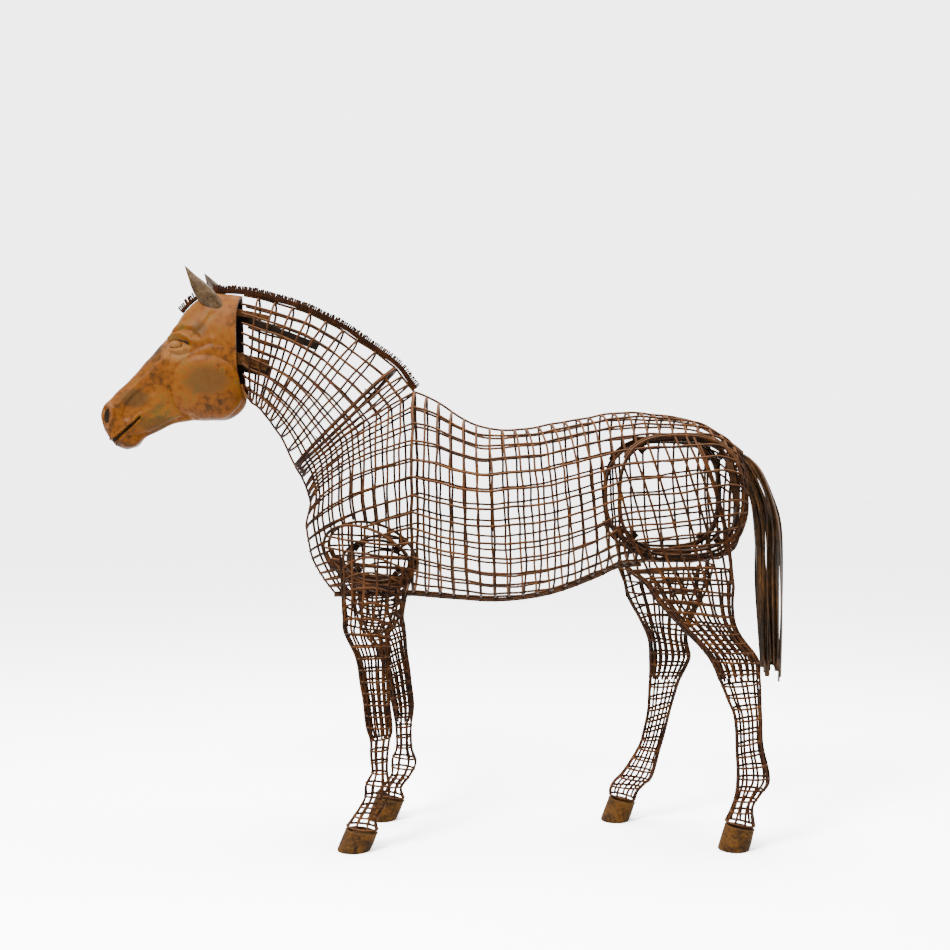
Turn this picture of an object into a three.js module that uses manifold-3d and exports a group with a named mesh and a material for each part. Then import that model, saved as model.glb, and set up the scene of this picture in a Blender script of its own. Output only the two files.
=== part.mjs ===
// Iron horse sculpture: a life-size standing horse. Neck, trunk and legs are open cages of welded round bar, the
// head and hooves are sheet iron, the mane is a comb of bar ends on a strip, and the tail is a bundle of flat straps.
// Millimetres, +Z up, nose towards -X, left side towards -Y. The origin is on the ground under the middle.
import * as THREE from "three";
import { mergeVertices } from "three/addons/utils/BufferGeometryUtils.js";
import Module from "manifold-3d";

const wasm = await Module();
wasm.setup();

// Driving dimensions
const WITHERS_HEIGHT = 1500;
const ROD_RADIUS = 4;
const HEAD_WALL = 6;
const HOOF_WALL = 7;
const FLANGE_DEPTH = 20;
const FLANGE_THICKNESS = 6;
const RING_DEPTH = 30;
const RING_THICKNESS = 11;
const RING_INSET = 14;
const COLLAR_ROOM = 14;
const LUG_SIZE = 22;
const STRAP_THICKNESS = 5;
const STRAP_WIDTH = 20;
const COMB_WIDTH = 22;
const COMB_STRIP = 17;
const TOOTH_LENGTH = 10;
const KEEL_WIDTH = 16;
const KEEL_HEIGHT = 10;
const DOCK_WALL = 5;
const TAIL_ROOT = [30, 20, 14];
const TAIL_STRAP_WIDTH = 13;
const TAIL_STRAP_THICKNESS = 5;
const FIT_GAP = 0.4;
const JOINT_ROOM = 1.4 * ROD_RADIUS + FIT_GAP / 2;

// How many bars each cage has
const TRUNK_HOOPS = 11;
const CROUP_HOOP = 6;
const SIDE_STRINGERS = 7;
const CHEST_COLUMNS = 4;
const NECK_HOOPS = 4;
const FORELEG_RINGS = 7;
const HINDLEG_RINGS = 8;
const LEG_RODS = 6;
const MANE_TEETH = 40;
const FORELOCK_TEETH = 7;
const TAIL_STRAPS = 7;

// The horse's form. Outlines are in thousandths of the withers height: [x, z] in side view, y from the midplane.
const PER_MILLE = WITHERS_HEIGHT / 1000;

// Each trunk hoop: topX, topZ, bottomX, bottomZ, half width, share of the height where it is widest,
// roundness above and below that (2 is an ellipse), backward bow of the sides.
const TRUNK = [
  [-63, 1000, -61, 550, 152, 0.56, 1.75, 2.6, 0],
  [-10, 978, -10, 545, 168, 0.56, 1.8, 2.5, 0],
  [40, 944, 40, 541, 180, 0.54, 1.9, 2.4, 0],
  [96, 919, 96, 537, 188, 0.52, 2, 2.3, 0],
  [152, 915, 152, 540, 191, 0.5, 2.1, 2.2, 0],
  [211, 920, 211, 550, 190, 0.5, 2.1, 2.2, 0],
  [264, 930, 264, 567, 185, 0.5, 2.1, 2.2, 0],
  [322, 941, 322, 592, 176, 0.5, 2.1, 2.3, 0],
  [371, 950, 371, 611, 169, 0.5, 2.1, 2.5, 0],
  [437, 953, 427, 616, 168, 0.52, 2.1, 3, 4],
  [506, 947, 490, 618, 170, 0.54, 2.1, 3.2, 10],
  [555, 937, 545, 618, 168, 0.54, 2.1, 3.2, 13],
  [599, 920, 593, 620, 160, 0.52, 2.1, 3, 16],
  [638, 893, 632, 632, 138, 0.5, 2.2, 2.6, 18],
  [664, 845, 655, 662, 100, 0.5, 2.2, 2.2, 14],
];

// Each chest row, from the neck flange (first) over the withers (third) to the keel (last): front x and z,
// crest x and z where the row still ends on the crest, half width of the neck there, forward bow.
const CHEST = [
  [-331, 834, -105, 1056, 77, 0],
  [-324, 822, -84, 1028, 79, 4],
  [-317, 810, -63, 1000, 76, 11],
  [-308, 790, -42, 972, 59, 18],
  [-302, 770, -42, 972, 43, 24],
  [-299, 745, -42, 972, 28, 27],
  [-306, 693, -42, 972, 17, 22],
  [-301, 650, -42, 972, 10, 14],
  [-293, 621, -42, 972, 6, 9],
  [-281, 597, -42, 972, 3, 5],
  [-267, 577, -42, 972, 1, 3],
  [-254, 561, -42, 972, 0, 1],
  [-244, 548, -42, 972, 0, 0],
];
const CREST_ROWS = 2;

// Neck hoops from the poll to the flange, as in TRUNK.
const NECK = [
  [-415, 1214, -433, 980, 47, 0.5, 2, 2, 0],
  [-379, 1204, -421, 972, 49, 0.5, 2, 2, 2],
  [-339, 1193, -411, 962, 52, 0.5, 2, 2, 4],
  [-299, 1178, -401, 948, 56, 0.52, 2, 2, 5],
  [-263, 1161, -390, 934, 60, 0.52, 2, 2, 5],
  [-224, 1141, -377, 916, 64, 0.52, 2, 2, 4],
  [-193, 1119, -364, 898, 68, 0.54, 2, 2, 3],
  [-150, 1090, -348, 867, 73, 0.55, 2, 2, 2],
  [-105, 1056, -331, 834, 77, 0.5, 2, 2, 0],
];

// Head sections from the nose to the open back, as in TRUNK.
const HEAD = [
  [-772, 953, -758, 907, 19, 0.5, 2.4, 2.4, 0],
  [-763, 974, -741, 883, 31, 0.45, 2.4, 2.4, 0],
  [-746, 990, -717, 871, 36, 0.42, 2.4, 2.2, 0],
  [-725, 1012, -695, 877, 35, 0.45, 2.3, 2.2, 0],
  [-700, 1036, -675, 895, 33, 0.48, 2.3, 2.2, 0],
  [-674, 1065, -640, 914, 36, 0.45, 2.4, 2.1, 0],
  [-646, 1096, -603, 930, 45, 0.42, 2.6, 2, 0],
  [-623, 1119, -571, 936, 55, 0.4, 2.7, 2, 0],
  [-603, 1147, -530, 936, 61, 0.42, 2.7, 2.1, 0],
  [-585, 1176, -489, 938, 62, 0.48, 2.5, 2.2, 0],
  [-557, 1206, -458, 953, 60, 0.52, 2.4, 2.2, 0],
  [-521, 1225, -443, 978, 56, 0.52, 2.4, 2.2, 0],
  [-452, 1219, -446, 992, 54, 0.5, 2.4, 2.2, 0],
];
const HEAD_SIDES = 16;
const CHEEK = { x: -521, z: 1013, radius: 80, rise: 5 };
const EYE = { x: -588, z: 1106, radius: 15, rise: 8 };
const EAR = { base: [-503, 1190, 36], tip: [-573, 1281, 47], far: [-548, 1278, 44], width: 17, depth: 12 };

// Leg hoops from the body to the coronet: frontX, frontZ, backX, backZ.
const LEFT_FORE = [
  [-226, 612, -66, 612],
  [-211, 515, -91, 505],
  [-210, 472, -111, 465],
  [-184, 415, -112, 420],
  [-171, 344, -112, 346],
  [-161, 267, -107, 265],
  [-152, 239, -109, 244],
  [-151, 200, -114, 202],
  [-150, 167, -115, 165],
  [-163, 141, -109, 135],
  [-166, 109, -114, 109],
  [-190, 71, -137, 67],
  [-203, 54, -136, 45],
];
const RIGHT_FORE = [
  [-226, 612, -66, 612],
  [-203, 486, -93, 495],
  [-181, 435, -91, 457],
  [-152, 393, -87, 421],
  [-127, 310, -77, 331],
  [-118, 262, -70, 270],
  [-113, 234, -73, 236],
  [-111, 200, -76, 203],
  [-111, 166, -73, 166],
  [-121, 143, -63, 133],
  [-123, 107, -77, 103],
  [-143, 77, -98, 75],
  [-158, 61, -93, 50],
];
const LEFT_HIND = [
  [403, 609, 641, 613],
  [444, 578, 640, 566],
  [468, 545, 639, 528],
  [503, 505, 642, 490],
  [545, 463, 655, 462],
  [586, 415, 693, 411],
  [609, 364, 697, 371],
  [627, 320, 698, 325],
  [642, 283, 699, 290],
  [645, 207, 703, 220],
  [647, 149, 716, 150],
  [644, 119, 697, 118],
  [634, 88, 680, 90],
  [621, 61, 683, 51],
];
const RIGHT_HIND = [
  [403, 607, 641, 613],
  [434, 530, 620, 545],
  [463, 477, 585, 478],
  [477, 448, 574, 437],
  [485, 419, 578, 408],
  [487, 381, 581, 383],
  [487, 335, 559, 337],
  [482, 262, 541, 280],
  [473, 211, 527, 227],
  [461, 173, 512, 168],
  [425, 115, 492, 103],
  [403, 91, 477, 86],
  [393, 72, 461, 69],
  [393, 61, 453, 49],
];

// Distance from the midplane, half width and rise of the outer side of each leg hoop.
const FORE_SIDE = [
  [119, 57, 54],
  [121, 50, 26],
  [119, 44, 8],
  [118, 37, 2],
  [120, 30, 0],
  [122, 26, 0],
  [123, 23, 0],
  [124, 18, 0],
  [124, 18, 0],
  [125, 22, 0],
  [126, 20, 0],
  [128, 24, 0],
  [130, 29, 0],
];
const HIND_SIDE = [
  [114, 56, 10],
  [114, 54, 10],
  [113, 50, 6],
  [112, 45, 2],
  [113, 40, 0],
  [114, 34, 0],
  [115, 30, 0],
  [116, 25, 0],
  [117, 22, 0],
  [118, 19, 0],
  [119, 23, 0],
  [120, 20, 0],
  [121, 24, 0],
  [122, 28, 0],
];

// Hooves: front x and back x of the sole, then of the rim, with the rim's heights.
const HOOVES = {
  left_fore_hoof: { sole: [-224, -151], rim: [-205, -136, 47, 37], side: -130 },
  right_fore_hoof: { sole: [-179, -110], rim: [-160, -92, 54, 43], side: 130 },
  left_hind_hoof: { sole: [604, 672], rim: [620, 683, 54, 43], side: -122 },
  right_hind_hoof: { sole: [372, 439], rim: [392, 453, 54, 41], side: 122 },
};
const SOLE_HALF_WIDTH = 38;
const RIM_HALF_WIDTH = 32;

// Bolted rings in side view: centre, half sizes and roundness.
const SHOULDER_RING = { x: -146, z: 620, halfX: 80, halfZ: 53, power: 2 };
const HIP_RING = { x: 521, z: 768, halfX: 136, halfZ: 131, power: 2.7 };

// Tail: the dock cover's top line, half width and how far its edges drop at each end, then the outer and inner
// edges of the strap bundle.
const DOCK = { from: [637, 902], to: [684, 868], halfWidth: 26, flat: 2, bent: 9 };
const TAIL_OUTER = [
  [676, 862],
  [700, 851],
  [728, 820],
  [755, 757],
  [770, 695],
  [772, 590],
  [771, 470],
  [768, 345],
];
const TAIL_INNER = [
  [669, 860],
  [678, 838],
  [692, 790],
  [706, 734],
  [711, 665],
  [713, 570],
  [718, 470],
  [724, 345],
];
const TAIL_HALF_WIDTH = 22;

// Small helpers
const place = (x, y, z) => new THREE.Vector3(x * PER_MILLE, y * PER_MILLE, z * PER_MILLE);
const mix = (a, b, t) => a + (b - a) * t;
const signedPower = (v, p) => Math.sign(v) * Math.abs(v) ** p;

// Catmull-Rom through rows of numbers; t runs from 0 to the last row's index.
function along(rows, t) {
  const last = rows.length - 1;
  const start = Math.min(Math.max(Math.floor(t), 0), last - 1);
  const u = t - start;
  const [a, b, c, d] = [-1, 0, 1, 2].map((k) => rows[Math.min(Math.max(start + k, 0), last)]);
  return b.map((_, k) => {
    const slope = c[k] - a[k];
    const square = 2 * a[k] - 5 * b[k] + 4 * c[k] - d[k];
    const cube = 3 * (b[k] - c[k]) + d[k] - a[k];
    return b[k] + 0.5 * (slope + (square + cube * u) * u) * u;
  });
}

// How far down a hoop the share f of its stringers sits: 1 at the top, -1 at the bottom.
const heightShare = (f) => mix(1 - 2 * f, Math.cos(Math.PI * f), 0.5);

// The point at share f (0 top, 1 bottom) of a hoop, on the side -1 (left) or 1 (right), grown outwards by grow mm.
function hoopPoint(row, f, side) {
  const [topX, topZ, bottomX, bottomZ, halfWidth, widest, above, below, bow] = row;
  const c = heightShare(f);
  const midX = mix(topX, bottomX, widest);
  const midZ = mix(topZ, bottomZ, widest);
  const power = c > 0 ? above : below;
  const reach = Math.abs(c);
  const x = mix(midX, c > 0 ? topX : bottomX, reach);
  const z = mix(midZ, c > 0 ? topZ : bottomZ, reach);
  const out = Math.max(1 - reach ** power, 0) ** (1 / power);
  return place(x + bow * out, side * halfWidth * out, z);
}

// A point of the chest: row runs along CHEST, t from 0 at the front midline to 1 at the crease of the trunk.
function chestPoint(row, t, side) {
  const [frontX, frontZ, crestX, crestZ, neckHalf, bow] = along(CHEST, row);
  const share = (row - CREST_ROWS) / (CHEST.length - 1 - CREST_ROWS);
  const crease = share > 0 ? hoopPoint(TRUNK[0], share, side) : place(crestX, 0, crestZ);
  const front = place(frontX, 0, frontZ);
  const point = front.clone().lerp(crease, t);
  const run = new THREE.Vector2(crease.x - front.x, crease.z - front.z).normalize();
  const push = bow * PER_MILLE * Math.sin(Math.PI * t ** 0.75);
  const shoulder = Math.abs(crease.y) * Math.sin((Math.PI / 2) * t ** 0.8);
  const neck = neckHalf * PER_MILLE * Math.sqrt(Math.max(1 - (2 * t - 1) ** 2, 0));
  point.set(point.x - run.y * push, side * Math.hypot(shoulder, neck), point.z + run.x * push);
  return point;
}

// A point of a leg hoop at angle a from its front, towards the outside for positive angles.
function legPoint(rows, sides, t, a, side) {
  const [frontX, frontZ, backX, backZ] = along(rows, t);
  const [centreY, halfWidth, rise] = along(sides, t);
  const x = mix(backX, frontX, (1 + Math.cos(a)) / 2);
  const z = mix(backZ, frontZ, (1 + Math.cos(a)) / 2) + rise * Math.sin(a);
  return place(x, side * (centreY + halfWidth * Math.sin(a)), z);
}

// A welded cage as one closed solid. Nodes are the crossings, faces the openings between the bars as loops that
// run anticlockwise seen from outside. Every bar has a square section on edge, and its crossings are fused.
function cage(nodes, faces) {
  const loops = [...faces, ...openEdges(faces)];
  const normals = nodes.map(() => new THREE.Vector3());
  for (const face of faces) {
    const normal = loopNormal(face.map((k) => nodes[k]));
    face.forEach((k) => normals[k].add(normal));
  }
  normals.forEach((n) => n.normalize());
  const soup = [];
  const quad = (a, b, c, d) => soup.push(a, b, c, a, c, d);
  const outer = nodes.map((p, k) => p.clone().addScaledVector(normals[k], ROD_RADIUS));
  const inner = nodes.map((p, k) => p.clone().addScaledVector(normals[k], -ROD_RADIUS));
  for (const loop of loops) {
    const corners = loop.map((k, i) => {
      const before = nodes[loop[(i + loop.length - 1) % loop.length]];
      const after = nodes[loop[(i + 1) % loop.length]];
      const left = (from, to) => normals[k].clone().cross(to.clone().sub(from)).normalize();
      const a = left(before, nodes[k]);
      const b = left(nodes[k], after);
      return a.clone().add(b).multiplyScalar(ROD_RADIUS / (1 + a.dot(b))).add(nodes[k]);
    });
    loop.forEach((a, i) => {
      const j = (i + 1) % loop.length;
      const b = loop[j];
      quad(outer[a], outer[b], corners[j], corners[i]);
      quad(inner[b], inner[a], corners[i], corners[j]);
    });
  }
  return closedGeometry(soup);
}

// Newell's normal of a loop of points.
function loopNormal(points) {
  const normal = new THREE.Vector3();
  points.forEach((p, i) => normal.add(p.clone().cross(points[(i + 1) % points.length])));
  return normal.normalize();
}

// The loops around the open ends of a set of faces, turned so that each edge is used once each way.
function openEdges(faces) {
  const next = new Map();
  const used = new Set(faces.flatMap((f) => f.map((a, i) => a + ">" + f[(i + 1) % f.length])));
  for (const face of faces)
    face.forEach((a, i) => {
      const b = face[(i + 1) % face.length];
      if (!used.has(b + ">" + a)) next.set(b, a);
    });
  const loops = [];
  while (next.size) {
    const loop = [];
    let at = next.keys().next().value;
    while (next.has(at)) {
      loop.push(at);
      const to = next.get(at);
      next.delete(at);
      at = to;
    }
    loops.push(loop);
  }
  return loops;
}

// A geometry from a list of triangle corners, with shared corners merged and its faces turned outwards.
function closedGeometry(soup) {
  const geometry = mergeVertices(new THREE.BufferGeometry().setFromPoints(soup), 1e-3);
  const index = geometry.index.array;
  if (solidOf(geometry).volume() < 0)
    for (let i = 0; i < index.length; i += 3) [index[i + 1], index[i + 2]] = [index[i + 2], index[i + 1]];
  return geometry;
}

// Boolean work on closed geometries.
function solidOf(geometry) {
  const bare = new THREE.BufferGeometry();
  bare.setAttribute("position", geometry.getAttribute("position"));
  if (geometry.index) bare.setIndex(geometry.index);
  const merged = mergeVertices(bare, 1e-3);
  return new wasm.Manifold(
    new wasm.Mesh({
      numProp: 3,
      vertProperties: merged.attributes.position.array,
      triVerts: new Uint32Array(merged.index.array),
    }),
  );
}
function geometryOf(solid) {
  const mesh = solid.getMesh();
  const geometry = new THREE.BufferGeometry();
  geometry.setAttribute("position", new THREE.BufferAttribute(mesh.vertProperties, 3));
  geometry.setIndex(new THREE.BufferAttribute(mesh.triVerts, 1));
  return geometry;
}
const joined = (list) => geometryOf(list.map(solidOf).reduce((a, b) => a.add(b)));

// A closed surface from rings of points with equal counts, the first and last closed by fans.
function loft(rings) {
  const soup = [];
  const count = rings[0].length;
  for (let i = 0; i + 1 < rings.length; i++)
    for (let k = 0; k < count; k++) {
      const m = (k + 1) % count;
      soup.push(rings[i][k], rings[i][m], rings[i + 1][m]);
      soup.push(rings[i][k], rings[i + 1][m], rings[i + 1][k]);
    }
  const fan = (ring, turned) => {
    for (let k = 1; k + 1 < count; k++) {
      const [b, c] = turned ? [ring[k + 1], ring[k]] : [ring[k], ring[k + 1]];
      soup.push(ring[0], c, b);
    }
  };
  fan(rings[0], false);
  fan(rings[rings.length - 1], true);
  return closedGeometry(soup);
}

// A flat bar bent along a closed loop: corners(k) gives the four corners of its section at point k.
function loopBar(count, corners) {
  const soup = [];
  for (let k = 0; k < count; k++) {
    const a = corners(k);
    const b = corners((k + 1) % count);
    for (let j = 0; j < 4; j++) {
      const m = (j + 1) % 4;
      soup.push(a[j], b[j], b[m], a[j], b[m], a[m]);
    }
  }
  return closedGeometry(soup);
}

// A trunk hoop, from the top down the left side and up the right, moved along the horse by a shift.
function trunkHoop(i, shift) {
  const row = along(TRUNK, (i * (TRUNK.length - 1)) / TRUNK_HOOPS);
  const around = 2 * SIDE_STRINGERS;
  return Array.from({ length: around }, (_, k) => {
    const onLeft = k <= SIDE_STRINGERS;
    const f = (onLeft ? k : around - k) / SIDE_STRINGERS;
    const point = hoopPoint(row, f, onLeft ? -1 : 1);
    point.x += shift;
    return point;
  });
}

// The trunk between two hoops. Where another cage is welded on, the end hoop stands off by half the joint.
function trunkCage(first, last) {
  const around = 2 * SIDE_STRINGERS;
  const nodes = trunkHoop(first, JOINT_ROOM);
  const faces = [];
  for (let i = first + 1; i <= last; i++) {
    nodes.push(...trunkHoop(i, i === last && last < TRUNK_HOOPS ? -JOINT_ROOM : 0));
    const [a, b] = [(i - first - 1) * around, (i - first) * around];
    for (let k = 0; k < around; k++) {
      const m = (k + 1) % around;
      faces.push([a + k, a + m, b + m, b + k]);
    }
  }
  return cage(nodes, faces);
}

// The chest cage: rows that run forward from its own hoop at the withers to the flange and the breast line.
function chestCage() {
  const around = 2 * SIDE_STRINGERS;
  const nodes = trunkHoop(0, -JOINT_ROOM);
  const crease = nodes.map((_, k) => k);
  const faces = [];
  const add = (point) => nodes.push(point) - 1;
  const rowStep = (CHEST.length - 1 - CREST_ROWS) / SIDE_STRINGERS;
  const rowAt = [0, ...Array.from({ length: SIDE_STRINGERS + 1 }, (_, r) => CREST_ROWS + r * rowStep)];
  const front = rowAt.map((row) => add(flangeShift(row, chestPoint(row, 0, -1))));
  const keelRow = rowAt.length - 1;
  const keel = Array.from({ length: CHEST_COLUMNS }, (_, j) =>
    j ? add(chestPoint(rowAt[keelRow], j / CHEST_COLUMNS, -1)) : front[keelRow],
  );
  const crest = add(flangeShift(0, chestPoint(0, 1, -1)));
  for (const side of [-1, 1]) {
    const grid = rowAt.map((row, r) =>
      Array.from({ length: CHEST_COLUMNS + 1 }, (_, j) => {
        if (j === 0) return front[r];
        if (j === CHEST_COLUMNS && r === 0) return crest;
        if (j === CHEST_COLUMNS) return crease[side < 0 ? r - 1 : (around - r + 1) % around];
        if (r === keelRow) return keel[j];
        return add(flangeShift(row, chestPoint(row, j / CHEST_COLUMNS, side)));
      }),
    );
    for (let r = 0; r < keelRow; r++)
      for (let j = 0; j < CHEST_COLUMNS; j++) {
        const face = [grid[r][j], grid[r + 1][j], grid[r + 1][j + 1], grid[r][j + 1]];
        faces.push(side < 0 ? face : face.reverse());
      }
  }
  return cage(nodes, faces);
}

// The flange's own direction, square to the neck at its end, pointing down into the trunk.
const FLANGE_TOP = place(NECK[NECK.length - 1][0], 0, NECK[NECK.length - 1][1]);
const FLANGE_BOTTOM = place(NECK[NECK.length - 1][2], 0, NECK[NECK.length - 1][3]);
const FLANGE_AXIS = FLANGE_TOP.clone().sub(FLANGE_BOTTOM).cross(new THREE.Vector3(0, 1, 0)).normalize().negate();
const FLANGE_ROOM = FLANGE_THICKNESS + ROD_RADIUS + 1.5 * FIT_GAP;

// The first chest row stands off the flange by the thickness of its own half.
function flangeShift(row, point) {
  return row === 0 ? point.addScaledVector(FLANGE_AXIS, FLANGE_ROOM) : point;
}

// The neck cage, from the poll to the flange.
function neckRow(i) {
  return along(NECK, (i * (NECK.length - 1)) / NECK_HOOPS);
}
function neckCage() {
  const around = 2 * CHEST_COLUMNS;
  const nodes = [];
  const faces = [];
  for (let i = 0; i <= NECK_HOOPS; i++)
    for (let k = 0; k < around; k++) {
      const t = Math.abs(1 - k / CHEST_COLUMNS);
      const side = k < CHEST_COLUMNS ? -1 : 1;
      const point = neckPoint(neckRow(i), t, side);
      nodes.push(i === NECK_HOOPS ? point.addScaledVector(FLANGE_AXIS, -FLANGE_ROOM) : point);
    }
  for (let i = 0; i < NECK_HOOPS; i++)
    for (let k = 0; k < around; k++) {
      const m = (k + 1) % around;
      const [a, b] = [i * around, (i + 1) * around];
      faces.push([a + k, a + m, b + m, b + k]);
    }
  return cage(nodes, faces);
}

// A point of a neck hoop: t is 1 at the crest and 0 at the throat, as in the chest rows.
function neckPoint(row, t, side) {
  const [topX, topZ, bottomX, bottomZ, halfWidth, , , , bow] = row;
  const out = Math.sqrt(Math.max(1 - (2 * t - 1) ** 2, 0));
  return place(mix(bottomX, topX, t) + bow * out, side * halfWidth * out, mix(bottomZ, topZ, t));
}

// The two bolted ovals of the neck flange, one on each side of the joint.
const FLANGE_SIDES = 24;
function flangeHalf(direction) {
  const row = NECK[NECK.length - 1];
  return loopBar(FLANGE_SIDES, (k) => {
    const a = (2 * Math.PI * k) / FLANGE_SIDES;
    const centre = FLANGE_TOP.clone().lerp(FLANGE_BOTTOM, 0.5);
    const half = FLANGE_TOP.clone().sub(centre);
    const ring = (inset) =>
      centre
        .clone()
        .addScaledVector(half, Math.cos(a) * (1 - inset / half.length()))
        .add(new THREE.Vector3(0, Math.sin(a) * (row[4] * PER_MILLE - inset), 0));
    const near = (direction * FIT_GAP) / 2;
    const far = near + direction * FLANGE_THICKNESS;
    return [
      ring(-ROD_RADIUS).addScaledVector(FLANGE_AXIS, near),
      ring(-ROD_RADIUS).addScaledVector(FLANGE_AXIS, far),
      ring(FLANGE_DEPTH - ROD_RADIUS).addScaledVector(FLANGE_AXIS, far),
      ring(FLANGE_DEPTH - ROD_RADIUS).addScaledVector(FLANGE_AXIS, near),
    ];
  });
}

// A leg cage from the body to just above the hoof. With a collar, its first hoop lies round the body's skin.
function legCage(rows, sides, side, rings, collar) {
  const nodes = [];
  const faces = [];
  for (let i = 0; i <= rings; i++)
    for (let k = 0; k < LEG_RODS; k++) {
      const t = ((rows.length - 1) * i) / rings;
      const a = (2 * Math.PI * k) / LEG_RODS;
      nodes.push(collar && i === 0 ? collar(a) : legPoint(rows, sides, t, a, side));
    }
  for (let i = 0; i < rings; i++)
    for (let k = 0; k < LEG_RODS; k++) {
      const m = (k + 1) % LEG_RODS;
      const [a, b] = [i * LEG_RODS, (i + 1) * LEG_RODS];
      const face = [a + k, b + k, b + m, a + m];
      faces.push(side < 0 ? face : face.reverse());
    }
  return cage(nodes, faces);
}

// Solves for the surface point that shows at x, z in side view, with the surface's normal there.
function showsAt(surface, x, z, start) {
  const step = 1e-3;
  let [u, v] = start;
  const slopes = () => {
    const point = surface(u, v);
    const du = surface(u + step, v).sub(point).divideScalar(step);
    const dv = surface(u, v + step).sub(point).divideScalar(step);
    return { point, du, dv };
  };
  for (let n = 0; n < 30; n++) {
    const { point, du, dv } = slopes();
    const det = du.x * dv.z - dv.x * du.z;
    const [ex, ez] = [x - point.x, z - point.z];
    u += (ex * dv.z - ez * dv.x) / det;
    v += (ez * du.x - ex * du.z) / det;
  }
  const { point, du, dv } = slopes();
  const normal = du.cross(dv).normalize();
  return { point, normal: normal.y < 0 ? normal.negate() : normal };
}

// A flat-bar ring under the skin, with bolt lugs on its inner edge.
const RING_SIDES = 20;
function bodyRing(ring, surface, start, side, lugsAt) {
  const loop = Array.from({ length: RING_SIDES }, (_, k) => {
    const a = (2 * Math.PI * k) / RING_SIDES;
    const x = ring.x + ring.halfX * signedPower(Math.cos(a), 2 / ring.power);
    const z = ring.z + ring.halfZ * signedPower(Math.sin(a), 2 / ring.power);
    const skin = showsAt(surface, x * PER_MILLE, z * PER_MILLE, start);
    const inwards = new THREE.Vector3(ring.x - x, 0, ring.z - z).normalize();
    return { skin: skin.point.addScaledVector(skin.normal, -side * RING_INSET), inwards };
  });
  const depth = new THREE.Vector3(0, -side, 0);
  const corner = (k, inset, down) =>
    loop[k].skin.clone().addScaledVector(loop[k].inwards, inset).addScaledVector(depth, down);
  const bar = loopBar(RING_SIDES, (k) => [
    corner(k, 0, 0),
    corner(k, RING_THICKNESS, 0),
    corner(k, RING_THICKNESS, RING_DEPTH),
    corner(k, 0, RING_DEPTH),
  ]);
  const lugs = lugsAt.map((k) => {
    const box = new THREE.BoxGeometry(LUG_SIZE, LUG_SIZE / 2, LUG_SIZE);
    const at = corner(k, RING_THICKNESS + LUG_SIZE / 3, LUG_SIZE / 2);
    return box.translate(at.x, at.y, at.z);
  });
  return joined([bar, ...lugs]);
}

// The foreleg's top hoop: round the shoulder ring, outside the skin.
function shoulderCollar(surface, start, side) {
  return (a) => {
    const x = (SHOULDER_RING.x - SHOULDER_RING.halfX * Math.cos(a)) * PER_MILLE;
    const z = (SHOULDER_RING.z + SHOULDER_RING.halfZ * Math.sin(a)) * PER_MILLE;
    const { point, normal } = showsAt(surface, x, z, start);
    return point.addScaledVector(normal, side * COLLAR_ROOM);
  };
}

// The head: a sheet shell, open at the back, with raised cheek discs and eyes.
function headRelief(x, z) {
  const bump = (spot) => {
    const d = Math.hypot(x / PER_MILLE - spot.x, z / PER_MILLE - spot.z) / spot.radius;
    return d < 1 ? spot.rise * (1 - d ** 4) : 0;
  };
  return bump(CHEEK) + bump(EYE);
}
function headRing(row, inset) {
  return Array.from({ length: HEAD_SIDES }, (_, k) => {
    const onLeft = k <= HEAD_SIDES / 2;
    const f = (2 * (onLeft ? k : HEAD_SIDES - k)) / HEAD_SIDES;
    const point = hoopPoint(row, f, onLeft ? -1 : 1);
    const centre = place((row[0] + row[2]) / 2, 0, (row[1] + row[3]) / 2);
    point.y += Math.sign(point.y) * headRelief(point.x, point.z);
    const inwards = centre.sub(point);
    return point.addScaledVector(inwards.normalize(), inset);
  });
}
function headOutside() {
  return HEAD.map((row) => headRing(row, 0));
}
function head() {
  const inside = HEAD.slice(2).filter((_, k) => k % 2 === 0).map((row) => headRing(row, HEAD_WALL));
  return loft([...headOutside(), ...inside.reverse()]);
}

// An ear: a leaf-shaped spike that stands on the head.
function ear(side) {
  const base = place(EAR.base[0], side * EAR.base[2], EAR.base[1]);
  const tipAt = side < 0 ? EAR.tip : EAR.far;
  const tip = place(tipAt[0], side * tipAt[2], tipAt[1]);
  const axis = tip.clone().sub(base).normalize();
  const wide = new THREE.Vector3(0, side, 0).cross(axis).normalize();
  const deep = axis.clone().cross(wide).normalize();
  const shares = [
    [-0.25, 0.9],
    [0, 1],
    [0.3, 0.96],
    [0.6, 0.66],
    [0.85, 0.3],
    [1, 0.05],
  ];
  const rings = shares.map(([t, size]) =>
    Array.from({ length: 8 }, (_, k) => {
      const a = (Math.PI * k) / 4;
      return base
        .clone()
        .lerp(tip, t)
        .addScaledVector(wide, Math.cos(a) * EAR.width * size * PER_MILLE)
        .addScaledVector(deep, Math.sin(a) * EAR.depth * size * PER_MILLE);
    }),
  );
  const cut = solidOf(loft(rings)).subtract(solidOf(loft(headOutside())));
  const lifted = geometryOf(cut.decompose().sort((a, b) => b.volume() - a.volume())[0]);
  return lifted.translate(axis.x * FIT_GAP, axis.y * FIT_GAP, axis.z * FIT_GAP);
}

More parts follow.
